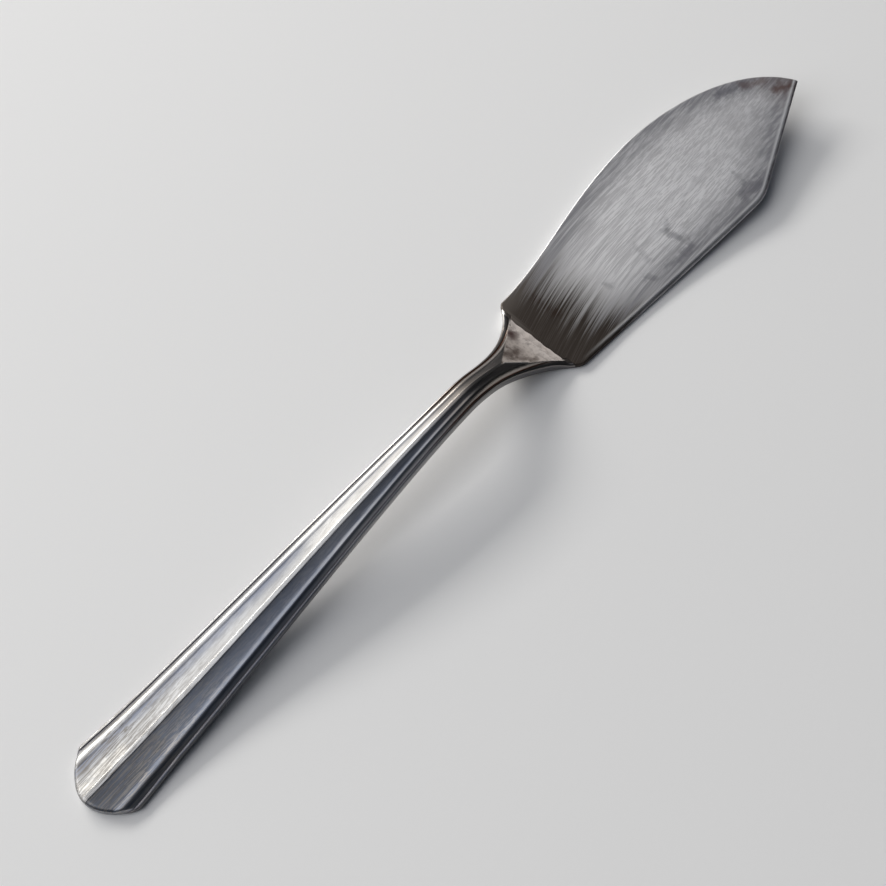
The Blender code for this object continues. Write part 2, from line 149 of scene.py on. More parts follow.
@dataclass(frozen=True)
class KnifeForm:
    """Sizes that more than one piece takes, in the knife's own frame."""

    handle_length: float = 109.0 * MM
    blade_length: float = 71.0 * MM
    neck_length: float = 26.5 * MM
    neck_blend: float = 8.0 * MM
    end_width: float = 14.0 * MM
    neck_width: float = 5.0 * MM
    sweep_length: float = 16.6 * MM
    sweep_radius: float = 18.0 * MM
    spine_side: LongSide = LongSide(9.8 * MM, 0.4 * MM, 0.8 * MM)
    edge_side: LongSide = LongSide(8.9 * MM, 0.8 * MM, 1.6 * MM)
    arch_height: float = 7.6 * MM
    arch_back: float = 22.0 * MM
    foot_back: float = 0.5 * MM
    heel_thickness: float = 1.1 * MM
    ramp_angle: float = math.radians(29.0)
    crease_setback: float = 1.2 * MM
    heel_setback: float = 0.5 * MM
    tongue_length: float = 6.5 * MM
    tongue_inset: float = 1.4 * MM
    nose_setback: float = 1.3 * MM
    joint_gap: float = 0.3 * MM
    seam_gap: float = 0.05 * MM

    @property
    def heel_x(self) -> float:
        """The line through the blade's two back corners."""
        return self.handle_length

    @property
    def tip_x(self) -> float:
        """The blade's tip."""
        return self.heel_x + self.blade_length

    @property
    def neck_x(self) -> float:
        """Where the handle's taper ends and its neck starts."""
        return self.heel_x - self.neck_length

    @property
    def sweep_x(self) -> float:
        """Where the shoulder starts to sweep out of the neck."""
        return self.heel_x - self.sweep_length

    @property
    def crease_x(self) -> float:
        """Where the shoulder's slope meets the blade's face."""
        return self.heel_x - self.crease_setback

    @property
    def nose_x(self) -> float:
        """Where the handle's metal ends above the blade."""
        return self.crease_x - self.nose_setback

    @property
    def tongue_x(self) -> float:
        """Where the blade's tongue starts under the shoulder."""
        return self.crease_x - self.tongue_length

    @property
    def step_x(self) -> float:
        """Where the blade steps out from its tongue to its heel."""
        return self.heel_x - self.heel_setback

    @property
    def horn_x(self) -> float:
        """Where the shoulder's two sides end beside the tongue."""
        return self.step_x - self.seam_gap

    @property
    def pocket_inset(self) -> float:
        """How far the pocket's sides stand inside the shoulder's outline."""
        return self.tongue_inset - self.seam_gap

    def long_side(self, side: Side) -> LongSide:
        """The sizes of one side."""
        return self.spine_side if side is Side.SPINE else self.edge_side

    def taper_half(self, x: float) -> float:
        """Half width of the handle without its shoulders: a straight taper into the neck.

        Args:
            x: Place along the handle.

        Returns:
            The half width.
        """
        before_neck = self.neck_x - x
        slope = (self.end_width - self.neck_width) / 2.0 / self.neck_x
        eased = (before_neck + math.hypot(before_neck, self.neck_blend)) / 2.0
        return self.neck_width / 2.0 + slope * eased

    def sweep_rise(self, along: float) -> float:
        """Rise of the shoulder's oval arc, as a share of the oval's height."""
        return 1.0 - math.sqrt(1.0 - (along / self.sweep_radius) ** 2)

    def flare(self, x: float, side: Side) -> float:
        """How far the shoulder stands out beyond the neck on one side.

        Args:
            x: Place along the handle.
            side: The side that is asked for.

        Returns:
            The distance.
        """
        reach = self.long_side(side).shoulder_half - self.taper_half(self.heel_x)
        rise = self.sweep_rise(max(0.0, x - self.sweep_x))
        return reach * rise / self.sweep_rise(self.sweep_length)

    def shoulder_line(self, x: float, side: Side) -> float:
        """Half width on one side, with its rounded end corner and its shoulder."""
        corner = self.long_side(side).end_round
        return self.taper_half(x) + self.flare(x, side) - corner * quarter_round(x / corner)

    def half_width(self, x: float, side: Side) -> float:
        """Half width on one side as far as the heel, whose corner is rounded off."""
        sizes = self.long_side(side)
        return soft_min(self.shoulder_line(x, side), sizes.shoulder_half, sizes.heel_round)

    def stretch(self, x: float, side: Side) -> float:
        """How much longer the shoulder's outline is at a place than its X."""
        rise = self.flare(x + SLOPE_STEP, side) - self.flare(x - SLOPE_STEP, side)
        return math.hypot(1.0, rise / (2.0 * SLOPE_STEP))

    def inset_half(self, x: float, side: Side, inset: float) -> float:
        """Half width of a line inside the outline, with its inset measured square to it."""
        return self.half_width(x, side) - inset * self.stretch(x, side)

    def underside(self, x: float) -> float:
        """Height of the handle's back, and of the tongue's, above the table.

        Args:
            x: Place along the knife.

        Returns:
            The height.
        """
        arch_x = self.heel_x - self.arch_back
        if x < arch_x:
            return self.arch_height * smooth(x / arch_x)
        foot_x = self.heel_x - self.foot_back
        return self.arch_height * (1.0 - smooth((x - arch_x) / (foot_x - arch_x)))

    def tongue_face(self, x: float) -> float:
        """Height of the tongue's upper face, which follows the shoulder's back."""
        return self.underside(x) + self.heel_thickness

    def ramp_z(self, x: float) -> float:
        """Height of the shoulder's slope, which comes down to the blade's face at the crease."""
        return self.tongue_face(self.crease_x) + (self.crease_x - x) * math.tan(self.ramp_angle)


class Skin:
    """Points, faces and painted marks of one piece, gathered before its mesh is made."""

    def __init__(self, origin: Vector, marks: Sequence[str]) -> None:
        """Start an empty skin.

        Args:
            origin: Where the knife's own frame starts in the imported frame.
            marks: Names of the values that each point carries for the finish.
        """
        self.origin = origin
        self.points: list[Vector] = []
        self.faces: list[tuple[int, ...]] = []
        self.marks: dict[str, list[float]] = {name: [] for name in marks}

    def point(self, place: Vector, **marks: float) -> int:
        """Add a point with its marks.

        Args:
            place: The point in the knife's own frame.
            **marks: Its marks, where those left out are 0.

        Returns:
            The point's number.
        """
        self.points.append(place + self.origin)
        for name, values in self.marks.items():
            values.append(marks.get(name, 0.0))
        return len(self.points) - 1

    def join_rings(self, rings: Sequence[Sequence[int]]) -> None:
        """Close the skin between closed rings of points that follow each other.

        Args:
            rings: Each ring's point numbers, in the same order.
        """
        for ring, following in zip(rings, rings[1:]):
            count = len(ring)
            for index in range(count):
                beside = (index + 1) % count
                self.faces.append((ring[index], ring[beside], following[beside], following[index]))

    def cap_ring(self, ring: Sequence[int]) -> None:
        """Close a ring whose second half mirrors its first, with strips between the halves.

        Args:
            ring: The ring's point numbers.
        """
        count = len(ring)
        for index in range(count // 2 - 1):
            facing = count - 1 - index
            self.faces.append((ring[index], ring[index + 1], ring[facing - 1], ring[facing]))

    def build(self, name: str) -> Object:
        """Make the object with its marks, and link it to the scene.

        Args:
            name: The object's name.

        Returns:
            The object.
        """
        mesh = bpy.data.meshes.new(name)
        mesh.from_pydata(self.points, [], self.faces)
        paint_marks(mesh, self.marks)
        working = bmesh.new()
        working.from_mesh(mesh)
        bmesh.ops.recalc_face_normals(working, faces=working.faces)
        working.to_mesh(mesh)
        working.free()
        piece = bpy.data.objects.new(name, mesh)
        bpy.context.scene.collection.objects.link(piece)
        return piece


def paint_marks(mesh: bpy.types.Mesh, marks: dict[str, list[float]]) -> None:
    """Give each point of a mesh its values for the finish."""
    for name, values in marks.items():
        mesh.attributes.new(name, "FLOAT", "POINT").data.foreach_set("value", values)


def carve(piece: Object, cutter: Object) -> None:
    """Cut one object out of another for good, and remove the cutter.

    Args:
        piece: The object that is cut.
        cutter: The object that is cut out of it.
    """
    modifier = piece.modifiers.new("carve", "BOOLEAN")
    modifier.operation = "DIFFERENCE"
    modifier.solver = "EXACT"
    modifier.object = cutter
    depsgraph = bpy.context.evaluated_depsgraph_get()
    whole = piece.data
    carved = bpy.data.meshes.new_from_object(piece.evaluated_get(depsgraph))
    piece.modifiers.clear()
    piece.data = carved
    carved.name = piece.name
    bpy.data.meshes.remove(whole)
    bpy.data.objects.remove(cutter)


def finish_mesh(piece: Object, sharp_angle: float) -> None:
    """Map the piece along the knife for its brushing, and keep edges past an angle sharp.

    Args:
        piece: The piece's object.
        sharp_angle: Angle past which an edge stays sharp.
    """
    mesh = piece.data
    lengthwise = mesh.uv_layers.new(name="lengthwise")
    for loop in mesh.loops:
        place = mesh.vertices[loop.vertex_index].co
        lengthwise.data[loop.index].uv = (place.x, place.y + place.z)
    mesh.shade_smooth()
    mesh.set_sharp_from_angle(angle=sharp_angle)


@dataclass
class Wiring:
    """A node tree, with short ways to add nodes and join them."""

    tree: bpy.types.NodeTree

    def feed(self, socket: Socket, value: object) -> None:
        """Join a socket to another one, or set its value.

        Args:
            socket: The socket.
            value: Another socket, or a value.
        """
        if isinstance(value, Socket):
            self.tree.links.new(value, socket)
        else:
            socket.default_value = value

    def add(self, kind: str, values: dict[str, object] | None = None, **settings: object) -> Node:
        """Add a node.

        Args:
            kind: The node's type.
            values: What its named inputs are set to or fed from.
            **settings: Its other properties.

        Returns:
            The new node.
        """
        node = self.tree.nodes.new(kind)
        for name, setting in settings.items():
            setattr(node, name, setting)
        for name, value in (values or {}).items():
            self.feed(node.inputs[name], value)
        return node

    def worked(self, kind: str, operation: str, values: Sequence[object]) -> Node:
        """A node of one operation, with its inputs filled in order.

        Args:
            kind: The node's type.
            operation: What it does.
            values: What its inputs are set to or fed from.

        Returns:
            The new node.
        """
        node = self.add(kind, operation=operation)
        for socket, value in zip(node.inputs, values):
            self.feed(socket, value)
        return node

    def math(self, operation: str, *values: object) -> Socket:
        """The result of a Math node."""
        return self.worked("ShaderNodeMath", operation, values).outputs[0]

    def times(self, first: object, second: object) -> Socket:
        """The product of two values."""
        return self.math("MULTIPLY", first, second)

    def place_math(self, operation: str, *values: object) -> Socket:
        """The result of a Vector Math node."""
        node = self.worked("ShaderNodeVectorMath", operation, values)
        return node.outputs["Value" if operation in ("DOT_PRODUCT", "LENGTH") else "Vector"]

    def blend(self, mask: object, below: object, above: object) -> Socket:
        """A colour that goes from one to another by a mask.

        Args:
            mask: 0 where the first colour shows and 1 where the second does.
            below: The first colour.
            above: The second colour.

        Returns:
            The colour.
        """
        node = self.add("ShaderNodeMix", data_type="RGBA")
        # Inputs 6 and 7 and output 2 are the node's colour sockets.
        for index, value in ((0, mask), (6, below), (7, above)):
            self.feed(node.inputs[index], value)
        return node.outputs[2]

    def span(
        self, value: object, low: object, high: object, at_low: float = 0.0, at_high: float = 1.0
    ) -> Socket:
        """A value eased between two results as its input goes from low to high.

        Args:
            value: The input.
            low: Where the easing starts.
            high: Where the easing ends.
            at_low: The result up to low.
            at_high: The result from high on.

        Returns:
            The result.
        """
        names = ("Value", "From Min", "From Max", "To Min", "To Max")
        values = dict(zip(names, (value, low, high, at_low, at_high)))
        node = self.add("ShaderNodeMapRange", values, interpolation_type="SMOOTHSTEP")
        return node.outputs["Result"]

    def noise(self, place: Socket, scale: object, detail: float, roughness: float) -> Socket:
        """Fractal noise from 0 to 1."""
        values = {"Vector": place, "Scale": scale, "Detail": detail, "Roughness": roughness}
        return self.add("ShaderNodeTexNoise", values, normalize=True).outputs["Fac"]

    def fade(self, value: Socket, length: float) -> Socket:
        """A value that falls from 1 where its input is 0 to 0 at a length, ever more slowly.

        Args:
            value: The input.
            length: Where the result comes to 0.

        Returns:
            The result.
        """
        share = self.math("DIVIDE", value, length)
        rest = self.math("MAXIMUM", self.math("SUBTRACT", 1.0, share), 0.0)
        return self.times(rest, rest)

    def mark(self, name: str) -> Socket:
        """A value that was painted on the piece's points."""
        return self.add("ShaderNodeAttribute", attribute_name=name).outputs["Fac"]

    def own_place(self) -> Socket:
        """Places in the piece's own space."""
        return self.add("ShaderNodeTexCoord").outputs["Object"]


def new_group(
    name: str, places: Sequence[str], values: Sequence[str], outputs: Sequence[str]
) -> tuple[Wiring, dict[str, Socket], Node]:
    """Start a shader node group.

    Args:
        name: The group's name.
        places: Its inputs that carry places.
        values: Its inputs that carry values.
        outputs: Its outputs, which all carry values.

    Returns:
        The group's wiring, its input sockets by name, and its output node.
    """
    tree = bpy.data.node_groups.new(name, "ShaderNodeTree")
    kinds = dict.fromkeys(places, Kind.PLACE) | dict.fromkeys(values, Kind.VALUE)
    for label, kind in kinds.items():
        tree.interface.new_socket(label, in_out="INPUT", socket_type=kind.value)
    for label in outputs:
        tree.interface.new_socket(label, in_out="OUTPUT", socket_type=Kind.VALUE.value)
    wiring = Wiring(tree)
    entry = wiring.add("NodeGroupInput")
    given = {label: entry.outputs[label] for label in kinds}
    return wiring, given, wiring.add("NodeGroupOutput")


@dataclass(frozen=True)
class Smear:
    """A smeared stain between two places, along and across from the middle of the blade's heel."""

    start: Point
    end: Point
    width: float
    strength: float


@dataclass(frozen=True)
class Patches:
    """Patches of stain: their size, how much they cover, and how softly they end."""

    size: float
    cover: float
    softness: float


@dataclass
class Effects:
    """The effects that the finishes share, each a node group that is built once."""

    origin: Vector
    form: KnifeForm
    brushing: bpy.types.NodeTree = field(init=False)
    staining: bpy.types.NodeTree = field(init=False)
    smearing: bpy.types.NodeTree = field(init=False)

    def __post_init__(self) -> None:
        """Build the groups."""
        self.brushing = self.build_brushing()
        self.staining = self.build_staining()
        self.smearing = self.build_smearing()

    def place(self, wiring: Wiring) -> Socket:
        """Places in the knife's own frame."""
        return wiring.place_math("SUBTRACT", wiring.own_place(), self.origin)

    @staticmethod
    def build_brushing() -> bpy.types.NodeTree:
        """Lines that run along the knife: fine ones, and broad streaks that gather them.

        Returns:
            The node group.
        """
        values = ("Line Width", "Line Length", "Shift")
        wiring, given, result = new_group("brushing", ("Place",), values, ("Fine", "Broad"))
        across = wiring.math("DIVIDE", 1.0, given["Line Width"])
        along = wiring.math("DIVIDE", 1.0, given["Line Length"])
        stretch = wiring.add("ShaderNodeCombineXYZ", {"X": along, "Y": across, "Z": across})
        drawn = wiring.place_math("MULTIPLY", given["Place"], stretch.outputs[0])
        moved = wiring.place_math("ADD", drawn, given["Shift"])
        wiring.feed(result.inputs["Fine"], wiring.noise(moved, 1.0, 4.0, 0.6))
        wiring.feed(result.inputs["Broad"], wiring.noise(moved, 0.35, 3.0, 0.55))
        return wiring.tree

    @staticmethod
    def build_staining() -> bpy.types.NodeTree:
        """Patches of stain with soft, broken outlines.

        Returns:
            The node group.
        """
        values = ("Patch Size", "Cover", "Softness")
        wiring, given, result = new_group("staining", ("Place",), values, ("Mask",))
        scale = wiring.math("DIVIDE", 1.0, given["Patch Size"])
        clouds = wiring.noise(given["Place"], scale, 5.0, 0.6)
        start = wiring.math("SUBTRACT", 1.0, given["Cover"])
        end = wiring.math("ADD", start, given["Softness"])
        wiring.feed(result.inputs["Mask"], wiring.span(clouds, start, end))
        return wiring.tree

    @staticmethod
    def build_smearing() -> bpy.types.NodeTree:
        """A stain along the line between two places, with a ragged outline.

        Returns:
            The node group.
        """
        places = ("Place", "Start", "End")
        wiring, given, result = new_group("smearing", places, ("Width",), ("Mask",))
        flat = wiring.place_math("MULTIPLY", given["Place"], (1.0, 1.0, 0.0))
        way = wiring.place_math("SUBTRACT", given["End"], given["Start"])
        gone = wiring.place_math("SUBTRACT", flat, given["Start"])
        forward = wiring.place_math("DOT_PRODUCT", gone, way)
        along = wiring.math("DIVIDE", forward, wiring.place_math("DOT_PRODUCT", way, way))
        nearest = wiring.place_math("MULTIPLY", way, wiring.span(along, 0.0, 1.0))
        off_line = wiring.place_math("LENGTH", wiring.place_math("SUBTRACT", gone, nearest))
        ragged = wiring.noise(flat, wiring.math("DIVIDE", 1.0, given["Width"]), 3.0, 0.6)
        reach = wiring.times(given["Width"], wiring.span(ragged, 0.3, 0.7, 0.4, 1.4))
        outward = wiring.math("DIVIDE", off_line, reach)
        wiring.feed(result.inputs["Mask"], wiring.span(outward, 0.0, 1.0, 1.0, 0.0))
        return wiring.tree

    def place_brushing(
        self, wiring: Wiring, place: Socket, width: float, length: float, shift: float = 0.0
    ) -> tuple[Socket, Socket]:
        """Put brushing in a material.

        Args:
            wiring: The material's wiring.
            place: Places in the knife's own frame.
            width: Width of a line.
            length: Length of a line.
            shift: How far the pattern is moved.

        Returns:
            The fine lines and the broad streaks.
        """
        values = {"Place": place, "Line Width": width, "Line Length": length, "Shift": shift}
        node = wiring.add("ShaderNodeGroup", values, node_tree=self.brushing)
        return node.outputs["Fine"], node.outputs["Broad"]

    def place_staining(self, wiring: Wiring, place: Socket, patches: Patches) -> Socket:
        """Put staining in a material.

        Args:
            wiring: The material's wiring.
            place: Places in the knife's own frame.
            patches: What the patches are like.

        Returns:
            The mask.
        """
        names = ("Patch Size", "Cover", "Softness")
        values = {"Place": place} | dict(zip(names, astuple(patches)))
        return wiring.add("ShaderNodeGroup", values, node_tree=self.staining).outputs["Mask"]

    def place_smear(self, wiring: Wiring, place: Socket, smear: Smear) -> Socket:
        """Put one smear in a material.

        Args:
            wiring: The material's wiring.
            place: Places in the knife's own frame.
            smear: The smear.

        Returns:
            The mask.
        """
        values = {"Place": place, "Width": smear.width}
        for name, (along, across) in (("Start", smear.start), ("End", smear.end)):
            values[name] = (self.form.heel_x + along, across, 0.0)
        node = wiring.add("ShaderNodeGroup", values, node_tree=self.smearing)
        return wiring.times(node.outputs["Mask"], smear.strength)

    def smear_over(
        self, wiring: Wiring, place: Socket, smears: Sequence[Smear], colour: Socket, tint: Colour
    ) -> Socket:
        """Blend a tint over a colour at each of some smears.

        Args:
            wiring: The material's wiring.
            place: Places in the knife's own frame.
            smears: The smears.
            colour: The colour under them.
            tint: The smears' own colour.

        Returns:
            The colour.
        """
        for smear in smears:
            colour = wiring.blend(self.place_smear(wiring, place, smear), colour, tint)
        return colour


def metal_shader(name: str, anisotropy: float) -> tuple[Material, Wiring, Node]:
    """Start a metal material whose sheen is drawn out along the knife.

    Args:
        name: The material's name.
        anisotropy: How far its reflections are drawn out across the brushing.

    Returns:
        The material, its wiring and its shader.
    """
    material = bpy.data.materials.new(name)
    material.use_nodes = True
    wiring = Wiring(material.node_tree)
    shader = material.node_tree.nodes["Principled BSDF"]
    shader.inputs["Metallic"].default_value = 1.0
    shader.inputs["Anisotropic"].default_value = anisotropy
    tangent = wiring.add("ShaderNodeTangent", direction_type="UV_MAP", uv_map="lengthwise")
    wiring.feed(shader.inputs["Tangent"], tangent.outputs[0])
    return material, wiring, shader


def bump(
    wiring: Wiring, shader: Node, height: Socket, strength: float = 0.3, depth: float = 0.03 * MM
) -> None:
    """Give a shader relief from a height, by default as shallow as scratches."""
    values = {"Height": height, "Strength": strength, "Distance": depth}
    wiring.feed(shader.inputs["Normal"], wiring.add("ShaderNodeBump", values).outputs[0])


@dataclass(frozen=True)
class SilverPlate:
    """Polished plate of the handle: fine scratches, dark grooves, a heat-stained shoulder, painted
    highlights and shade.
    """

    clean: Colour = (0.52, 0.52, 0.525, 1.0)
    # Brighter plate towards the neck, a painted highlight on the spine side; also the rubbed
    # corner's painted highlight
    polished: Colour = (0.88, 0.86, 0.83, 1.0)
    # Painted highlight on the spine-side flute near the end
    warm_highlight: Colour = (0.84, 0.81, 0.76, 1.0)
    dull: Colour = (0.20, 0.187, 0.175, 1.0)
    # Painted shade on the side walls
    side_shade: Colour = (0.16, 0.155, 0.16, 1.0)
    # Painted shade: darker copies of the plate for the edge side's flute, before and after it
    # brightens towards the neck
    shaded: Colour = (0.26, 0.283, 0.335, 1.0)
    half_polished: Colour = (0.56, 0.565, 0.59, 1.0)
    # Painted shade in the creases, darker on the edge side
    crease: Colour = (0.235, 0.25, 0.30, 1.0)
    edge_crease_shade: Colour = (0.17, 0.185, 0.225, 1.0)
    brown: Colour = (0.15, 0.135, 0.12, 1.0)
    light_scratch: Colour = (0.42, 0.395, 0.37, 1.0)
    groove: Colour = (0.28, 0.272, 0.295, 1.0)
    rust: Colour = (0.15, 0.07, 0.045, 1.0)
    neck: Colour = (0.31, 0.28, 0.255, 1.0)
    soot: Colour = (0.075, 0.064, 0.056, 1.0)
    stain_light: Colour = (0.86, 0.78, 0.73, 1.0)
    stain_pale: Colour = (0.60, 0.53, 0.485, 1.0)
    stain_dark: Colour = (0.11, 0.080, 0.066, 1.0)
    stain_maroon: Colour = (0.060, 0.024, 0.022, 1.0)
    anisotropy: float = 0.35
    roughness: float = 0.26
    worn_roughness: float = 0.34
    scratch_roughness: float = 0.06
    stained_roughness: float = 0.5
    stained_metal: float = 0.25
    far_wear: float = 0.25
    scratch_cover: float = 0.75
    side_shade_cover: float = 0.85
    groove_cover: float = 0.92
    rub_highlight_cover: float = 0.7
    scratch_width: float = 0.2 * MM
    scratch_length: float = 9.0 * MM
    worn_from: float = 6.0 * MM
    worn_to: float = 36.0 * MM
    # Where the plate brightens towards the neck, with a painted highlight on the spine side
    polish_from: float = 45.0 * MM
    polish_full: float = 58.0 * MM
    rib_half: float = 0.4 * MM
    neck_before: float = 8.0 * MM
    neck_after: float = 6.0 * MM
    mottle_from: float = 8.0 * MM
    mottle_to: float = 2.0 * MM
    pale_from: float = 4.5 * MM
    pale_to: float = 1.0 * MM
    patches: Patches = Patches(1.9 * MM, 0.52, 0.22)
    specks: Patches = Patches(0.7 * MM, 0.55, 0.35)
    end_smear: Smear = Smear((-106.0 * MM, -2.6 * MM), (-96.0 * MM, -2.8 * MM), 3.4 * MM, 0.85)
    spine_smear: Smear = Smear((-105.0 * MM, 3.5 * MM), (-97.0 * MM, 3.2 * MM), 1.7 * MM, 0.8)
    # Place of the painted highlight near the end
    glow: Smear = Smear((-107.0 * MM, 1.3 * MM), (-100.0 * MM, 1.2 * MM), 1.9 * MM, 0.8)
    dark_smear: Smear = Smear((-5.6 * MM, 6.4 * MM), (-4.0 * MM, 3.9 * MM), 2.2 * MM, 0.95)
    low_smears: tuple[Smear, ...] = (
        Smear((-9.8 * MM, 1.6 * MM), (-6.8 * MM, 0.2 * MM), 1.8 * MM, 0.8),
        Smear((-8.4 * MM, -0.4 * MM), (-5.4 * MM, -2.6 * MM), 1.3 * MM, 0.75),
    )

    def material(self, effects: Effects) -> Material:
        """Build the material.

        Args:
            effects: The shared node groups.

        Returns:
            The material.
        """
        form = effects.form
        material, wiring, shader = metal_shader("silver_plate", self.anisotropy)
        place = effects.place(wiring)
        across = wiring.add("ShaderNodeSeparateXYZ", {"Vector": place}).outputs["Y"]
        along = wiring.times(wiring.mark("along"), form.handle_length)
        groove, heated = wiring.mark("groove"), wiring.mark("ramp")
        fine, broad = effects.place_brushing(wiring, place, self.scratch_width, self.scratch_length)
        worn = wiring.span(along, self.worn_from, self.worn_to, 1.0, self.far_wear)
        neck_x = form.neck_x
        near_neck = wiring.span(along, neck_x - self.neck_before, neck_x + self.neck_after)
        polish = wiring.span(along, self.polish_from, self.polish_full)
        rib = self.rib_half
        off_rib = wiring.span(wiring.math("ABSOLUTE", across), 0.7 * rib, 1.1 * rib)
        # Mask of the edge side, whose flute takes the painted shade
        edge_side = wiring.span(across, -1.2 * rib, -0.8 * rib, 1.0, 0.0)

        # Flutes: brighter towards the neck, with a painted highlight on the spine side and painted
        # shade on the edge side
        colour = wiring.blend(wiring.times(polish, off_rib), self.clean, self.polished)
        # Painted highlight near the end, off the rib
        glowing = effects.place_smear(wiring, place, self.glow)
        colour = wiring.blend(wiring.times(glowing, off_rib), colour, self.warm_highlight)
        shaded = wiring.blend(polish, self.shaded, self.half_polished)
        colour = wiring.blend(edge_side, colour, shaded)
        streaks = wiring.span(worn, 0.0, 1.0, 0.15, 0.5)
        streaked = wiring.times(wiring.span(broad, 0.4, 0.64), streaks)
        colour = wiring.blend(streaked, colour, self.dull)

        # Painted shade in the creases, full on the edge side and fading on the spine side towards
        # the neck, the darker neck, and brown smears near the end
        crease = wiring.times(wiring.mark("crease"), wiring.span(broad, 0.35, 0.6, 0.7, 1.0))
        crease_shade_share = wiring.math("MAXIMUM", edge_side, wiring.span(polish, 0.0, 1.0, 1.0, 0.2))
        crease_shade_tint = wiring.blend(edge_side, self.crease, self.edge_crease_shade)
        colour = wiring.blend(wiring.times(crease, crease_shade_share), colour, crease_shade_tint)
        colour = wiring.blend(near_neck, colour, self.neck)
        broken = wiring.span(fine, 0.4, 0.56)
        for smear in (self.end_smear, self.spine_smear):
            smeared = wiring.times(effects.place_smear(wiring, place, smear), broken)
            colour = wiring.blend(smeared, colour, self.brown)

        # Scratches, painted shade on the side walls, and a dark tint in the groove that turns
        # rust-brown near the neck
        scratched = wiring.times(wiring.span(fine, 0.48, 0.55), worn)
        scratch_tint = wiring.blend(edge_side, self.dull, self.light_scratch)
        colour = wiring.blend(wiring.times(scratched, self.scratch_cover), colour, scratch_tint)
        side_shaded = wiring.times(wiring.mark("edge"), self.side_shade_cover)
        colour = wiring.blend(side_shaded, colour, self.side_shade)
        groove_tint = wiring.blend(near_neck, self.groove, self.rust)
        colour = wiring.blend(wiring.times(groove, self.groove_cover), colour, groove_tint)

        # Heat stain on the shoulder's slope, soot before the blade, and the spine side's rubbed
        # corner and the slope's ridge, brightened as a painted highlight
        patches = effects.place_staining(wiring, place, self.patches)
        specks = effects.place_staining(wiring, place, self.specks)
        crease_x = form.crease_x
        fewer = wiring.span(along, crease_x - self.mottle_from, crease_x - self.mottle_to, 0.8, 0.4)
        mottle = wiring.times(wiring.math("ADD", patches, specks), fewer)
        paler = wiring.span(along, crease_x - self.pale_from, crease_x - self.pale_to)
        stain = wiring.blend(paler, self.stain_pale, self.stain_light)
        stain = wiring.blend(mottle, stain, self.stain_dark)
        stain = effects.smear_over(wiring, place, self.low_smears, stain, self.stain_dark)
        stain = effects.smear_over(wiring, place, (self.dark_smear,), stain, self.stain_maroon)
        colour = wiring.blend(heated, colour, stain)
        colour = wiring.blend(wiring.mark("ledge"), colour, self.soot)
        # Rubbed metal brightened as a painted highlight
        rubbed = wiring.times(wiring.mark("rub_highlight"), self.rub_highlight_cover)
        wiring.feed(shader.inputs["Base Color"], wiring.blend(rubbed, colour, self.polished))

        # Sheen and relief
        metal = wiring.span(heated, 0.0, 1.0, 1.0, self.stained_metal)
        wiring.feed(shader.inputs["Metallic"], metal)
        roughness = wiring.span(worn, 0.0, 1.0, self.roughness, self.worn_roughness)
        roughness = wiring.math("ADD", roughness, wiring.times(fine, self.scratch_roughness))
        added = wiring.math("SUBTRACT", self.stained_roughness, roughness)
        added = wiring.times(added, wiring.math("MAXIMUM", heated, groove))
        wiring.feed(shader.inputs["Roughness"], wiring.math("ADD", roughness, added))
        relief = wiring.math("ADD", wiring.times(fine, worn), wiring.times(specks, heated))
        bump(wiring, shader, relief)
        return material


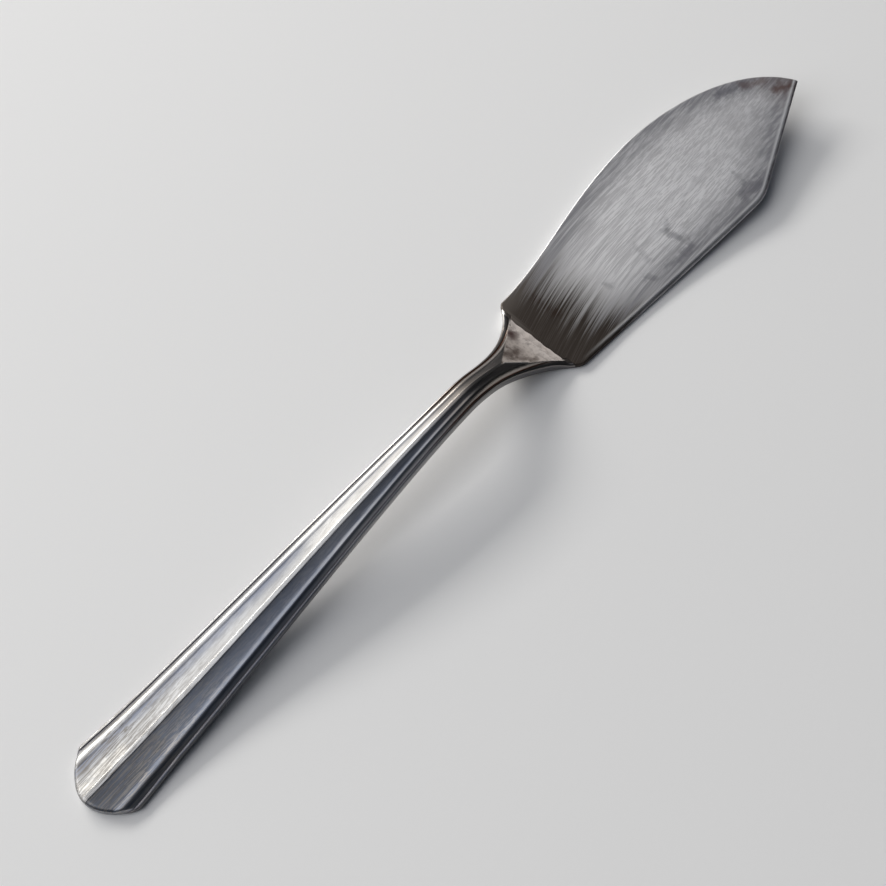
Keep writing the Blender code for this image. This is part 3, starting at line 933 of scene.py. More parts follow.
@dataclass(frozen=True)
class WornPlate:
    """Brushed, worn plate of the blade: streaks, a dark stained heel, smears, a brown tip, painted
    shade along its sides and a painted highlight along its spine.
    """

    clean: Colour = (0.94, 0.93, 0.94, 1.0)
    dull: Colour = (0.50, 0.49, 0.50, 1.0)
    # Painted shade along both sides of the blade
    margin_shade: Colour = (0.19, 0.188, 0.21, 1.0)
    mark: Colour = (0.15, 0.148, 0.172, 1.0)
    heel: Colour = (0.056, 0.046, 0.040, 1.0)
    heel_worn: Colour = (0.15, 0.132, 0.12, 1.0)
    heel_brown: Colour = (0.042, 0.028, 0.022, 1.0)
    tint: Colour = (0.13, 0.075, 0.065, 1.0)
    # Rubbed metal along the cutting edge, a painted highlight along the spine
    bright: Colour = (0.86, 0.86, 0.86, 1.0)
    anisotropy: float = 0.6
    anisotropy_turn: float = 0.25
    roughness: float = 0.40
    line_roughness: float = 0.1
    stained_roughness: float = 0.5
    line_width: float = 0.23 * MM
    line_length: float = 12.0 * MM
    line_shift: float = 3.0
    clouds: Patches = Patches(9.0 * MM, 0.55, 0.3)
    grain: Patches = Patches(1.1 * MM, 0.5, 0.4)
    wear_from: float = 30.0 * MM
    wear_full: float = 60.0 * MM
    wear_cover: float = 0.65
    tint_from: float = 62.0 * MM
    tint_full: float = 71.0 * MM
    tint_cover: float = 0.8
    fan_length: float = 26.0 * MM
    fan_shift: float = 4.0 * MM
    heel_dark: float = 4.0 * MM
    heel_fade: float = 17.0 * MM
    fine_feather: float = 1.7 * MM
    broad_feather: float = 1.6 * MM
    edge_creep: float = -4.0 * MM
    spine_creep: float = 1.5 * MM
    creep_width: float = 5.0 * MM
    # Strength and reach of the painted shade along the sides
    margin_shade_cover: float = 0.75
    edge_shade_reach: float = 8.5 * MM
    spine_shade_reach: float = 7.0 * MM
    heel_smear: Smear = Smear((5.3 * MM, 5.8 * MM), (5.2 * MM, 1.3 * MM), 1.6 * MM, 0.8)
    smears: tuple[Smear, ...] = (
        Smear((31.4 * MM, -3.0 * MM), (31.9 * MM, -6.0 * MM), 1.5 * MM, 0.5),
        Smear((31.8 * MM, -2.8 * MM), (33.3 * MM, -1.7 * MM), 1.0 * MM, 0.3),
        Smear((25.2 * MM, -0.8 * MM), (24.6 * MM, -4.4 * MM), 1.3 * MM, 0.2),
        Smear((21.4 * MM, -6.2 * MM), (22.2 * MM, -7.4 * MM), 1.2 * MM, 0.4),
        Smear((25.6 * MM, -7.6 * MM), (28.0 * MM, -8.4 * MM), 1.3 * MM, 0.4),
        Smear((29.6 * MM, -8.4 * MM), (31.8 * MM, -8.2 * MM), 1.5 * MM, 0.5),
        Smear((48.6 * MM, -5.0 * MM), (48.4 * MM, -7.8 * MM), 1.1 * MM, 0.3),
        Smear((46.5 * MM, -8.8 * MM), (52.0 * MM, -10.2 * MM), 2.2 * MM, 0.6),
        Smear((60.0 * MM, 7.4 * MM), (64.0 * MM, 4.8 * MM), 2.0 * MM, 0.7),
        Smear((15.6 * MM, -1.6 * MM), (16.0 * MM, -2.6 * MM), 1.0 * MM, 0.3),
    )
    tip_smears: tuple[Smear, ...] = (
        Smear((67.2 * MM, -0.4 * MM), (69.0 * MM, -1.8 * MM), 1.8 * MM, 0.8),
        Smear((64.0 * MM, 5.0 * MM), (67.0 * MM, 2.6 * MM), 1.5 * MM, 0.5),
    )

    def material(self, effects: Effects) -> Material:
        """Build the material.

        Args:
            effects: The shared node groups.

        Returns:
            The material.
        """
        material, wiring, shader = metal_shader("worn_plate", self.anisotropy)
        shader.inputs["Anisotropic Rotation"].default_value = self.anisotropy_turn
        place = effects.place(wiring)
        along = wiring.add("ShaderNodeSeparateXYZ", {"Vector": place}).outputs["X"]
        from_heel = wiring.math("SUBTRACT", along, effects.form.heel_x)
        from_spine, from_edge = wiring.mark("from_spine"), wiring.mark("from_edge")
        fan = wiring.times(wiring.fade(from_heel, self.fan_length), self.fan_shift)
        sideways = wiring.add("ShaderNodeCombineXYZ", {"Y": fan}).outputs[0]
        fine, broad = effects.place_brushing(
            wiring,
            wiring.place_math("ADD", place, sideways),
            self.line_width,
            self.line_length,
            self.line_shift,
        )
        clouds = effects.place_staining(wiring, place, self.clouds)
        cloudy = wiring.span(clouds, 0.0, 1.0, 0.5, 1.0)

        # Brushing, with more wear towards the tip, and painted shade along both sides
        colour = wiring.blend(wiring.span(fine, 0.45, 0.57, 0.0, 0.55), self.clean, self.dull)
        colour = wiring.blend(wiring.span(broad, 0.44, 0.66, 0.0, 0.35), colour, self.dull)
        worn = wiring.span(from_heel, self.wear_from, self.wear_full, 0.0, self.wear_cover)
        colour = wiring.blend(wiring.times(cloudy, worn), colour, self.dull)
        near_spine = wiring.span(from_spine, 0.5 * MM, self.spine_shade_reach, self.margin_shade_cover, 0.0)
        near_edge = wiring.span(from_edge, 0.8 * MM, self.edge_shade_reach, self.margin_shade_cover, 0.0)
        margin_shade = wiring.math("MAXIMUM", near_spine, near_edge)
        streaked = wiring.times(margin_shade, wiring.span(broad, 0.3, 0.62, 0.55, 1.0))
        colour = wiring.blend(streaked, colour, self.margin_shade)

        # Smears on the face, and brown tints at the tip
        colour = effects.smear_over(wiring, place, self.smears, colour, self.mark)
        tip = wiring.times(wiring.span(from_heel, self.tint_from, self.tint_full), cloudy)
        colour = wiring.blend(wiring.times(tip, self.tint_cover), colour, self.tint)
        colour = effects.smear_over(wiring, place, self.tip_smears, colour, self.tint)

        # Dark heel, which feathers into the strokes and creeps along the sides
        reached = from_heel
        for strokes, feather in ((fine, self.fine_feather), (broad, self.broad_feather)):
            feathered = wiring.span(strokes, 0.42, 0.58, -feather, feather)
            reached = wiring.math("ADD", reached, feathered)
        for inward, creep in ((from_edge, self.edge_creep), (from_spine, self.spine_creep)):
            crept = wiring.span(inward, 0.0, self.creep_width, creep, 0.0)
            reached = wiring.math("ADD", reached, crept)
        heel = wiring.span(reached, self.heel_dark, self.heel_fade, 1.0, 0.0)
        grain = effects.place_staining(wiring, place, self.grain)
        tone = wiring.times(wiring.span(fine, 0.4, 0.66), wiring.span(grain, 0.0, 1.0, 0.3, 0.8))
        rubbed = wiring.span(from_spine, 0.0, self.creep_width, 0.8, 0.0)
        stain = wiring.blend(wiring.math("MAXIMUM", tone, rubbed), self.heel, self.heel_worn)
        stain = effects.smear_over(wiring, place, (self.heel_smear,), stain, self.heel_brown)
        colour = wiring.blend(heel, colour, stain)
        # Rubbed edges: bright metal along the cutting edge, a painted highlight along the spine
        colour = wiring.blend(wiring.mark("polish"), colour, self.bright)
        wiring.feed(shader.inputs["Base Color"], colour)

        # Sheen and relief
        roughness = wiring.span(heel, 0.0, 1.0, self.roughness, self.stained_roughness)
        roughness = wiring.math("ADD", roughness, wiring.times(fine, self.line_roughness))
        wiring.feed(shader.inputs["Roughness"], roughness)
        bump(wiring, shader, fine)
        return material


@dataclass(frozen=True)
class BrazeMetal:
    """Heat-stained braze along the crease."""

    pale: Colour = (0.82, 0.74, 0.69, 1.0)
    dark: Colour = (0.46, 0.37, 0.33, 1.0)
    metal: float = 0.25
    roughness: float = 0.5
    smooth_roughness: float = 0.42
    patches: Patches = Patches(1.8 * MM, 0.46, 0.3)
    grain: Patches = Patches(0.4 * MM, 0.5, 0.4)

    def material(self, effects: Effects) -> Material:
        """Build the material.

        Args:
            effects: The shared node groups.

        Returns:
            The material.
        """
        material, wiring, shader = metal_shader("braze_metal", 0.0)
        shader.inputs["Metallic"].default_value = self.metal
        place = effects.place(wiring)
        patches = effects.place_staining(wiring, place, self.patches)
        grain = effects.place_staining(wiring, place, self.grain)
        wiring.feed(shader.inputs["Base Color"], wiring.blend(patches, self.pale, self.dark))
        roughness = wiring.span(grain, 0.0, 1.0, self.smooth_roughness, self.roughness)
        wiring.feed(shader.inputs["Roughness"], roughness)
        bump(wiring, shader, grain)
        return material


@dataclass(frozen=True)
class Run:
    """A stretch of the struck face's profile between two of its corners, straight or bent."""

    start: Point
    end: Point
    steps: int
    round_reach: float
    bend: Point | None = None

    def at(self, fraction: float) -> Point:
        """The point at a fraction of the run."""
        middle = ((self.start[0] + self.end[0]) / 2.0, (self.start[1] + self.end[1]) / 2.0)
        return bent(self.start, self.bend or middle, self.end, fraction)

    def length(self) -> float:
        """Straight length of the run."""
        return math.dist(self.start, self.end)


@dataclass(frozen=True)
class Relief:
    """Heights of the struck face above the plain back, and the widths of its parts."""

    rib: float
    crease: float
    bead: float
    rim: float
    rib_width: float
    bead_inside: float
    bead_outside: float
    groove_width: float
    rim_width: float


@dataclass(frozen=True)
class Lines:
    """Distances of the struck face's lines from the middle, on one side at one place."""

    outer: float
    rim_inner: float
    groove_inner: float
    bead: float
    crease: float

    @property
    def groove(self) -> float:
        """The groove's middle."""
        return (self.rim_inner + self.groove_inner) / 2.0


@dataclass(frozen=True)
class Ridge:
    """A low ridge between two places, along and across from the middle of the blade's heel."""

    start: Point
    end: Point
    width: float
    height: float

    def rise(self, along: float, across: float) -> float:
        """Height of the ridge at a place.

        Args:
            along: Place along, from the heel.
            across: Place across, from the middle.

        Returns:
            The height.
        """
        way = Vector(self.end) - Vector(self.start)
        gone = Vector((along, across)) - Vector(self.start)
        off_line = (gone - way * clamp(gone.dot(way) / way.dot(way))).length
        return self.height * math.exp(-((off_line / self.width) ** 2))


@dataclass
class Handle:
    """The struck handle: a rib, two flutes, and on each side a bead, a groove and a rim."""

    form: KnifeForm
    end_relief: Relief = Relief(
        rib=2.15 * MM,
        crease=1.6 * MM,
        bead=1.65 * MM,
        rim=1.1 * MM,
        rib_width=0.8 * MM,
        bead_inside=0.6 * MM,
        bead_outside=1.2 * MM,
        groove_width=0.35 * MM,
        rim_width=0.4 * MM,
    )
    neck_relief: Relief = Relief(
        rib=2.85 * MM,
        crease=2.6 * MM,
        bead=2.62 * MM,
        rim=2.0 * MM,
        rib_width=0.55 * MM,
        bead_inside=0.28 * MM,
        bead_outside=0.77 * MM,
        groove_width=0.3 * MM,
        rim_width=0.25 * MM,
    )
    shoulder_crease: float = 2.76 * MM
    shoulder_bead: float = 2.72 * MM
    heel_rim_width: float = 0.8 * MM
    rim_step: float = 0.15 * MM
    rim_fall: float = 0.03 * MM
    heel_rim_drop: float = 0.03 * MM
    rib_step: float = 0.1 * MM
    rib_draft: float = 0.06 * MM
    groove_depth: float = 0.16 * MM
    flute_flat: float = 0.35
    # How far the painted shade of a crease reaches into the flute and onto the bead
    flute_shade_reach: float = 1.9 * MM
    bead_shade_reach: float = 0.6 * MM
    groove_dirt: float = 2.0
    groove_fade: float = 1.5
    side_reach: float = 1.05
    edge_round: float = 0.18 * MM
    heel_edge_round: float = 0.5 * MM
    rib_round: float = 0.035 * MM
    foot_round: float = 0.05 * MM
    crease_round: float = 0.14 * MM
    groove_round: float = 0.05 * MM
    rim_round: float = 0.02 * MM
    end_arch: float = 5.0 * MM
    end_lean: float = 0.25 * MM
    end_fade: float = 16.0 * MM
    lip_length: float = 0.9 * MM
    lip_drop: float = 0.6 * MM
    slope_length: float = 9.6 * MM
    slope_dish: float = 0.2 * MM
    slope_lip: Ridge = Ridge((-10.7 * MM, -0.2 * MM), (-7.2 * MM, -2.5 * MM), 0.17 * MM, 0.1 * MM)
    ramp_blend: float = 0.05 * MM
    stain_length: float = 10.1 * MM
    stain_spread: float = 0.64
    stain_feather: float = 0.6 * MM
    # The spine-side corner that is rubbed and brightened as a painted highlight
    rub_highlight_length: float = 4.6 * MM
    rub_highlight_fade: float = 2.5 * MM
    fine_length: float = 12.6 * MM
    lip_steps: int = 8
    taper_steps: int = 90
    neck_steps: int = 40
    shoulder_steps: int = 100
    run_steps: tuple[int, ...] = (2, 1, 14, 6, 9, 2, 2, 2)
    corner_steps: int = 3
    edge_steps: int = 6
    largest_round: float = 0.35
    seat_steps: int = 14
    opening_steps: int = 10
    opening_gap: float = 0.005 * MM
    cut_margin: float = 10.0 * MM
    shift_tries: int = 6
    sharp_angle: float = math.radians(50.0)

    @property
    def lowest_rim(self) -> float:
        """Lowest height of the rim above the back, at the heel."""
        return self.form.heel_thickness - self.heel_rim_drop

    def in_shoulder(self, x: float) -> float:
        """How far the face has gone over from the neck's shape to the shoulder's, from 0 to 1."""
        return smooth((x - self.form.neck_x) / (self.form.tongue_x - self.form.neck_x))

    def relief_at(self, x: float) -> Relief:
        """The struck face's sizes at a place along the handle.

        Args:
            x: Place along the handle.

        Returns:
            The sizes.
        """
        form = self.form
        if x < form.neck_x:
            start, end, share = self.end_relief, self.neck_relief, clamp(x / form.neck_x)
        else:
            start, share = self.neck_relief, self.in_shoulder(x)
            end = replace(start, crease=self.shoulder_crease, bead=self.shoulder_bead)
        sizes = zip(astuple(start), astuple(end))
        return Relief(*(lerp(before, after, share) for before, after in sizes))

    def in_sweep(self, x: float) -> float:
        """How far the shoulder has swept out of the neck, from 0 to 1."""
        return smooth((x - self.form.sweep_x) / self.form.sweep_length)

    def lines(self, x: float, side: Side) -> Lines:
        """The struck face's lines on one side, which keep their distances from the outline.

        Args:
            x: Place along the handle.
            side: The side that is asked for.

        Returns:
            The lines.
        """
        relief = self.relief_at(x)
        stretch = self.form.stretch(x, side)
        outer = self.form.half_width(x, side)
        rim_width = lerp(relief.rim_width, self.heel_rim_width, self.in_sweep(x))
        rim_inner = outer - rim_width * stretch
        groove_inner = rim_inner - relief.groove_width * stretch
        bead = groove_inner - relief.bead_outside * stretch
        return Lines(outer, rim_inner, groove_inner, bead, bead - relief.bead_inside * stretch)

    def top_round(self, x: float) -> float:
        """Radius of the face's outer edge, which grows along the shoulder."""
        return lerp(self.edge_round, self.heel_edge_round, self.in_sweep(x))

    def rim_height(self, x: float) -> float:
        """Height of the rim above the back, which stays below the shoulder's slope.

        Args:
            x: Place along the handle.

        Returns:
            The height.
        """
        step = self.rim_step * self.groove_left(x)
        below_slope = self.form.ramp_z(x) - self.form.underside(x) - step
        return max(self.lowest_rim, min(self.relief_at(x).rim, below_slope))

    def groove_left(self, x: float) -> float:
        """Share of the groove's depth that is left as it runs out beside the blade's tongue."""
        return 1.0 - smooth((x - self.form.tongue_x) / (self.form.horn_x - self.form.tongue_x))

    def slope_z(self, x: float, y: float) -> float:
        """Height of the shoulder's slope at a place, which is a little dished between its sides.

        Args:
            x: Place along the handle.
            y: Place across it.

        Returns:
            The height above the table.
        """
        form = self.form
        side = Side.SPINE if y > 0.0 else Side.EDGE
        down_slope = x - form.crease_x + self.slope_length
        along = clamp(down_slope / (self.slope_length - form.nose_setback))
        across = clamp(abs(y) / self.lines(x, side).groove_inner)
        return form.ramp_z(x) - self.slope_dish * math.sin(math.pi * along) * (1.0 - across**2)

    def runs(self, x: float, side: Side) -> list[Run]:
        """The profile's runs from the rib's middle to the side.

        Args:
            x: Place along the handle.
            side: The side that the profile goes to.

        Returns:
            The runs in order, each with the rounding at its end.
        """
        relief = self.relief_at(x)
        lines = self.lines(x, side)
        rim = self.rim_height(x)
        rib_edge = relief.rib_width / 2.0
        flute_y = rib_edge + self.rib_draft
        plain = self.in_shoulder(x)
        flat_z = (relief.rib + relief.crease) / 2.0
        flute_z = lerp(relief.crease, flat_z, max(self.flute_flat, plain))
        flute = ((flute_y + lines.crease) / 2.0, flute_z)
        groove = (lines.groove, rim - self.groove_depth * self.groove_left(x))
        corners = [
            (0.0, relief.rib),
            (rib_edge, relief.rib),
            (flute_y, relief.rib - self.rib_step * (1.0 - plain)),
            (lines.crease, relief.crease),
            (lines.bead, relief.bead),
            (lines.groove_inner, rim),
            groove,
            (lines.rim_inner, rim),
            (lines.outer - self.top_round(x), rim - self.rim_fall),
        ]
        bead_inside = ((lines.crease + lines.bead) / 2.0, relief.bead)
        bead_outside = ((lines.bead + lines.groove_inner) / 2.0, relief.bead)
        bends = (None, None, flute, bead_inside, bead_outside, None, None, None)
        rounds = (
            self.rib_round,
            self.foot_round,
            self.crease_round,
            self.groove_round,
            self.groove_round,
            self.groove_round,
            self.rim_round,
            self.rim_round,
        )
        spans = zip(corners, corners[1:], self.run_steps, rounds, bends)
        return [Run(*span) for span in spans]

    def profile(self, x: float, side: Side) -> list[Point]:
        """The struck face on one side, as distances from the middle outwards and heights.

        Args:
            x: Place along the handle.
            side: The side that the profile goes to.

        Returns:
            The same number of points at every place.
        """
        runs = self.runs(x, side)
        points: list[Point] = []
        trimmed = 0.0
        for run, following in zip(runs, runs[1:] + [None]):
            outgoing = 0.0
            if following:
                outgoing = min(self.largest_round, run.round_reach / run.length())
            span = spaced(trimmed, 1.0 - outgoing, run.steps)
            points += [run.at(fraction) for fraction in (span[1:] if points else span)]
            if following:
                trimmed = min(self.largest_round, run.round_reach / following.length())
                start, end = run.at(1.0 - outgoing), following.at(trimmed)
                shares = spaced(0.0, 1.0, self.corner_steps)[1:]
                points += [bent(start, run.end, end, share) for share in shares]
        inner_y, rim_z = points[-1]
        for share in spaced(0.0, 1.0, self.edge_steps)[1:]:
            turn = share * math.pi / 2.0
            y = inner_y + self.top_round(x) * math.sin(turn)
            points.append((y, rim_z - self.top_round(x) * (1.0 - math.cos(turn))))
        return points

    def end_shift(self, x: float, y: float) -> float:
        """How far a point near the rounded end is moved along the handle.

        Args:
            x: Place along the handle.
            y: Place across it.

        Returns:
            The distance.
        """
        across = y / self.form.taper_half(x)
        shift = self.end_arch * across**2 + self.end_lean * across
        return (1.0 - smooth(x / self.end_fade)) * shift

    def ring(self, skin: Skin, x: float) -> list[int]:
        """Add one closed section to the skin.

        Args:
            skin: The skin that takes the points.
            x: Place along the handle.

        Returns:
            The section's point numbers, across the face and back under it.
        """
        base = self.form.underside(x)
        lip = quarter_round(x / self.lip_length)
        sides = {side: self.profile(x, side) for side in Side}
        lines = {side: self.lines(x, side) for side in Side}
        edge = [(-y, z, Side.EDGE) for y, z in reversed(sides[Side.EDGE])]
        spine = [(y, z, Side.SPINE) for y, z in sides[Side.SPINE][1:]]
        face_row, back_row = [], []
        for y, z, side in edge + spine:
            height = z
            if abs(y) <= lines[side].groove_inner:
                ceiling = max(self.lowest_rim, self.slope_z(x, y) - base)
                height = soft_min(z, ceiling, self.ramp_blend)
                height += self.slope_lip.rise(x - self.form.heel_x, y)
            back = self.edge_round * quarter_round((lines[side].outer - abs(y)) / self.edge_round)
            place = x + self.end_shift(x, y)
            face_row.append(skin.point(Vector((place, y, base + height - self.lip_drop * lip))))
            back_row.append(skin.point(Vector((place, y, base + back + self.edge_round * lip))))
        return face_row + back_row[::-1]

    def build_pocket(self, origin: Vector) -> Object:
        """Make a block in the shape of the pocket that the tongue and the braze lie in.

        Args:
            origin: Where the knife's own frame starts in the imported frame.

        Returns:
            The block's object.
        """
        form = self.form
        skin = Skin(origin, ())
        seat_x = spaced(form.tongue_x - form.joint_gap, form.nose_x, self.seat_steps)
        opening_x = spaced(form.nose_x + self.opening_gap, form.heel_x, self.opening_steps)
        tops = [(x, form.tongue_face(x) + form.joint_gap) for x in seat_x]
        tops += [(x, self.cut_margin) for x in opening_x]
        bottom = -self.cut_margin
        rings = []
        for x, top in tops:
            edge_y = -form.inset_half(x, Side.EDGE, form.pocket_inset)
            spine_y = form.inset_half(x, Side.SPINE, form.pocket_inset)
            corners = ((edge_y, bottom), (spine_y, bottom), (spine_y, top), (edge_y, top))
            rings.append([skin.point(Vector((x, y, z))) for y, z in corners])
        skin.join_rings(rings)
        skin.faces += [tuple(rings[0]), tuple(rings[-1])]
        return skin.build("pocket")

    def section_x(self, place: Vector) -> float:
        """The section that a point belongs to, before the rounded end moved it along the handle.

        Args:
            place: The point in the knife's own frame.

        Returns:
            The section's place along the handle.
        """
        x = place.x
        for _ in range(self.shift_tries):
            x = max(0.0, place.x - self.end_shift(x, place.y))
        return x

    def marks_at(self, place: Vector) -> dict[str, float]:
        """What the finish has to know of a place on the handle.

        Args:
            place: The place in the knife's own frame.

        Returns:
            How far along it lies, and how much of it is groove, painted crease shade, painted side
            shade, ledge before the blade, stained slope, and rubbed metal painted as a highlight.
        """
        form = self.form
        x = self.section_x(place)
        side = Side.SPINE if place.y > 0.0 else Side.EDGE
        lines = self.lines(x, side)
        rim, top_round = self.rim_height(x), self.top_round(x)
        off_middle = abs(place.y)
        height = place.z - form.underside(x)
        on_face = height > rim / 2.0
        on_side = off_middle > lines.outer - self.side_reach * top_round
        off_groove = abs(off_middle - lines.groove) / (lines.groove - lines.groove_inner)
        groove = clamp(self.groove_dirt - self.groove_fade * off_groove) * self.groove_left(x)
        past_flute = off_middle - lines.crease
        off_crease = max(past_flute / self.bead_shade_reach, -past_flute / self.flute_shade_reach)
        past_slope = (x - form.crease_x) / self.stain_feather
        stain_half = (x - form.crease_x + self.stain_length) * self.stain_spread
        in_stain = smooth(0.5 + (stain_half - off_middle) / self.stain_feather)
        off_slope = abs(place.z - self.slope_z(x, place.y)) / self.ramp_blend
        ridge = self.slope_lip.rise(x - form.heel_x, place.y) / self.slope_lip.height
        ridge = ridge if on_face else 0.0
        stained = smooth(1.5 - off_slope) * in_stain * (1.0 - ridge)
        on_corner = smooth((x - form.heel_x + self.rub_highlight_length) / self.rub_highlight_fade)
        return {
            "along": x / form.handle_length,
            "groove": groove if on_face else 0.0,
            # Painted shade in the creases
            "crease": smooth(1.0 - off_crease) if on_face else 0.0,
            # Painted shade on the side walls
            "edge": smooth((rim - height) / top_round) if on_side else 0.0,
            "ledge": smooth(0.5 + past_slope) if on_face and not on_side else 0.0,
            "ramp": stained if off_middle < lines.groove_inner else 0.0,
            # Rubbed corner on the spine side and the slope's ridge: painted highlight
            "rub_highlight": on_corner if on_side and side is Side.SPINE else ridge,
        }

    def paint(self, piece: Object, origin: Vector) -> None:
        """Mark each point of the carved handle for its finish.

        Args:
            piece: The handle's object.
            origin: Where the knife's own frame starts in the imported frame.
        """
        painted = [self.marks_at(vert.co - origin) for vert in piece.data.vertices]
        names = painted[0]
        paint_marks(piece.data, {name: [marks[name] for marks in painted] for name in names})

    def build(self, origin: Vector) -> Object:
        """Loft the handle through its sections, and cut the pocket out of its shoulder.

        Args:
            origin: Where the knife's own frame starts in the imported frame.

        Returns:
            The handle's object.
        """
        form = self.form
        skin = Skin(origin, ())
        fine_x = form.heel_x - self.fine_length
        turns = spaced(0.0, math.pi / 2.0, self.lip_steps)
        places = [self.lip_length * (1.0 - math.cos(turn)) for turn in turns]
        places += spaced(self.lip_length, form.neck_x, self.taper_steps)[1:]
        places += spaced(form.neck_x, fine_x, self.neck_steps)[1:]
        places += spaced(fine_x, form.horn_x, self.shoulder_steps)[1:]
        rings = [self.ring(skin, x) for x in places]
        skin.join_rings(rings)
        skin.cap_ring(rings[0])
        skin.cap_ring(rings[-1])
        piece = skin.build("handle_struck")
        carve(piece, self.build_pocket(origin))
        self.paint(piece, origin)
        finish_mesh(piece, self.sharp_angle)
        return piece

    def dress(self, piece: Object, finish: Material) -> None:
        """Give the handle its finish and its place in the frame.

        Args:
            piece: The piece's object.
            finish: Its material.
        """
        piece.data.materials.append(finish)
        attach(piece, "root")
        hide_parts("handle")


@dataclass
class Blade:
    """The sheet blade: a tongue, a flat heel, a sweep up to the clipped point, rounded edges."""

    form: KnifeForm
    tip_thickness: float = 0.8 * MM
    edge_round: float = 0.3 * MM
    tongue_round: float = 0.03 * MM
    heel_flat: float = 10.0 * MM
    tip_rise: float = 6.0 * MM
    tip_offset: float = -2.4 * MM
    spine_peak: Point = (39.4 * MM, 14.4 * MM)
    spine_heel_pull: Point = (13.5 * MM, 0.3 * MM)
    spine_peak_pull: float = 16.5 * MM
    spine_fall_pull: float = 11.5 * MM
    spine_tip_pull: Point = (-4.0 * MM, 11.8 * MM)
    edge_corner: Point = (48.4 * MM, -12.4 * MM)
    edge_corner_radius: float = 9.0 * MM
    edge_thickness: float = 0.75 * MM
    edge_bevel: float = 0.7 * MM
    bevel_fade: float = 14.0 * MM
    tip_blunt: float = 0.12 * MM
    corner_length: float = 1.0 * MM
    polish_start: float = 4.0 * MM
    polish_width: float = 0.35 * MM
    edge_polish: float = 0.8
    spine_polish: float = 0.9
    tip_length: float = 6.0 * MM
    step_gap: float = 0.02 * MM
    tongue_steps: int = 12
    heel_steps: int = 3
    corner_steps: int = 5
    blade_steps: int = 90
    tip_steps: int = 24
    middle_steps: int = 22
    largest_margin: float = 0.4
    sharp_angle: float = math.radians(50.0)
    arc_steps: int = 16
    outline_steps: int = 60
    edge_offsets: tuple[float, ...] = (0.0, 0.02, 0.07, 0.14, 0.22, 0.3, 0.42, 0.56, 0.68, 0.8, 1.2)
    spine_outline: list[Vector] = field(init=False)
    edge_outline: list[Vector] = field(init=False)

    def __post_init__(self) -> None:
        """Work out the two outlines in front of the heel."""
        heel = Vector((self.form.heel_x, 0.0))
        tip = Vector((self.form.tip_x, self.tip_offset))
        heel_spine = heel + Vector((0.0, self.form.spine_side.shoulder_half))
        peak = heel + Vector(self.spine_peak)
        rise = interpolate_bezier(
            heel_spine,
            heel_spine + Vector(self.spine_heel_pull),
            peak - Vector((self.spine_peak_pull, 0.0)),
            peak,
            self.outline_steps,
        )
        fall = interpolate_bezier(
            peak,
            peak + Vector((self.spine_fall_pull, 0.0)),
            tip + Vector(self.spine_tip_pull),
            tip,
            self.outline_steps,
        )
        self.spine_outline = rise + fall[1:]
        heel_edge = heel - Vector((0.0, self.form.edge_side.shoulder_half))
        corner = heel + Vector(self.edge_corner)
        self.edge_outline = [heel_edge] + self.rounded_corner(heel_edge, corner, tip) + [tip]

    def rounded_corner(self, before: Vector, corner: Vector, after: Vector) -> list[Vector]:
        """Arc points that round off the corner between the straight edge and the clip.

        Args:
            before: Where the straight edge starts.
            corner: The sharp corner.
            after: Where the clip ends.

        Returns:
            The arc's points.
        """
        to_before = (before - corner).normalized()
        to_after = (after - corner).normalized()
        half_angle = to_before.angle(to_after) / 2.0
        radius = self.edge_corner_radius
        centre = corner + (to_before + to_after).normalized() * radius / math.sin(half_angle)
        start = corner + to_before * radius / math.tan(half_angle) - centre
        end = corner + to_after * radius / math.tan(half_angle) - centre
        shares = spaced(0.0, 1.0, self.arc_steps)
        return [centre + start.slerp(end, share) * radius for share in shares]

    def side_at(self, x: float, side: Side) -> tuple[float, float]:
        """The outline on one side.

        Args:
            x: Place along the knife.
            side: The side that is asked for.

        Returns:
            Y of the outline, and how much longer the outline is there than its X.
        """
        if x < self.form.heel_x:
            inset = self.form.tongue_inset if x < self.form.step_x else 0.0
            return side.value * self.form.inset_half(x, side, inset), self.form.stretch(x, side)
        outline = self.spine_outline if side is Side.SPINE else self.edge_outline
        for start, end in zip(outline, outline[1:]):
            if x <= end.x:
                break
        slope = (end.y - start.y) / (end.x - start.x)
        y = start.y + slope * (x - start.x)
        if x < self.form.heel_x + self.corner_length:
            shoulder = self.form.shoulder_line(x, side)
            y = side.value * soft_min(abs(y), shoulder, self.form.long_side(side).heel_round)
        return y, math.hypot(1.0, slope)

    def heights(self, x: float, from_edge: float) -> tuple[float, float]:
        """Heights of the blade's back and face.

        Args:
            x: Place along the knife.
            from_edge: Distance in from the cutting edge.

        Returns:
            The back's and the face's height above the table.
        """
        form = self.form
        if x < form.heel_x:
            return form.underside(x), form.tongue_face(x)
        rise_x = form.heel_x + self.heel_flat
        back = self.tip_rise * clamp((x - rise_x) / (form.tip_x - rise_x)) ** 2
        in_front = x - form.heel_x
        share = clamp(in_front / form.blade_length)
        thickness = lerp(form.heel_thickness, self.tip_thickness, share)
        bevel = (1.0 - clamp(from_edge / self.edge_bevel)) * smooth(in_front / self.bevel_fade)
        return back, back + lerp(thickness, self.edge_thickness, bevel)

    def row_places(self, x: float) -> list[tuple[float, float, float]]:
        """Places across the blade, from its cutting edge to its spine.

        Args:
            x: Place along the knife.

        Returns:
            For each place its Y and its distances in from the edge and from the spine.
        """
        edge_y, edge_stretch = self.side_at(x, Side.EDGE)
        spine_y, spine_stretch = self.side_at(x, Side.SPINE)
        width = spine_y - edge_y
        offsets = [offset * MM for offset in self.edge_offsets]
        widest = offsets[-1] * max(edge_stretch, spine_stretch)
        fit = min(1.0, self.largest_margin * width / widest)
        near_edge = [edge_y + offset * fit * edge_stretch for offset in offsets]
        near_spine = [spine_y - offset * fit * spine_stretch for offset in reversed(offsets)]
        between = spaced(near_edge[-1], near_spine[0], self.middle_steps)[1:-1]
        rows = near_edge + between + near_spine
        return [(y, (y - edge_y) / edge_stretch, (spine_y - y) / spine_stretch) for y in rows]

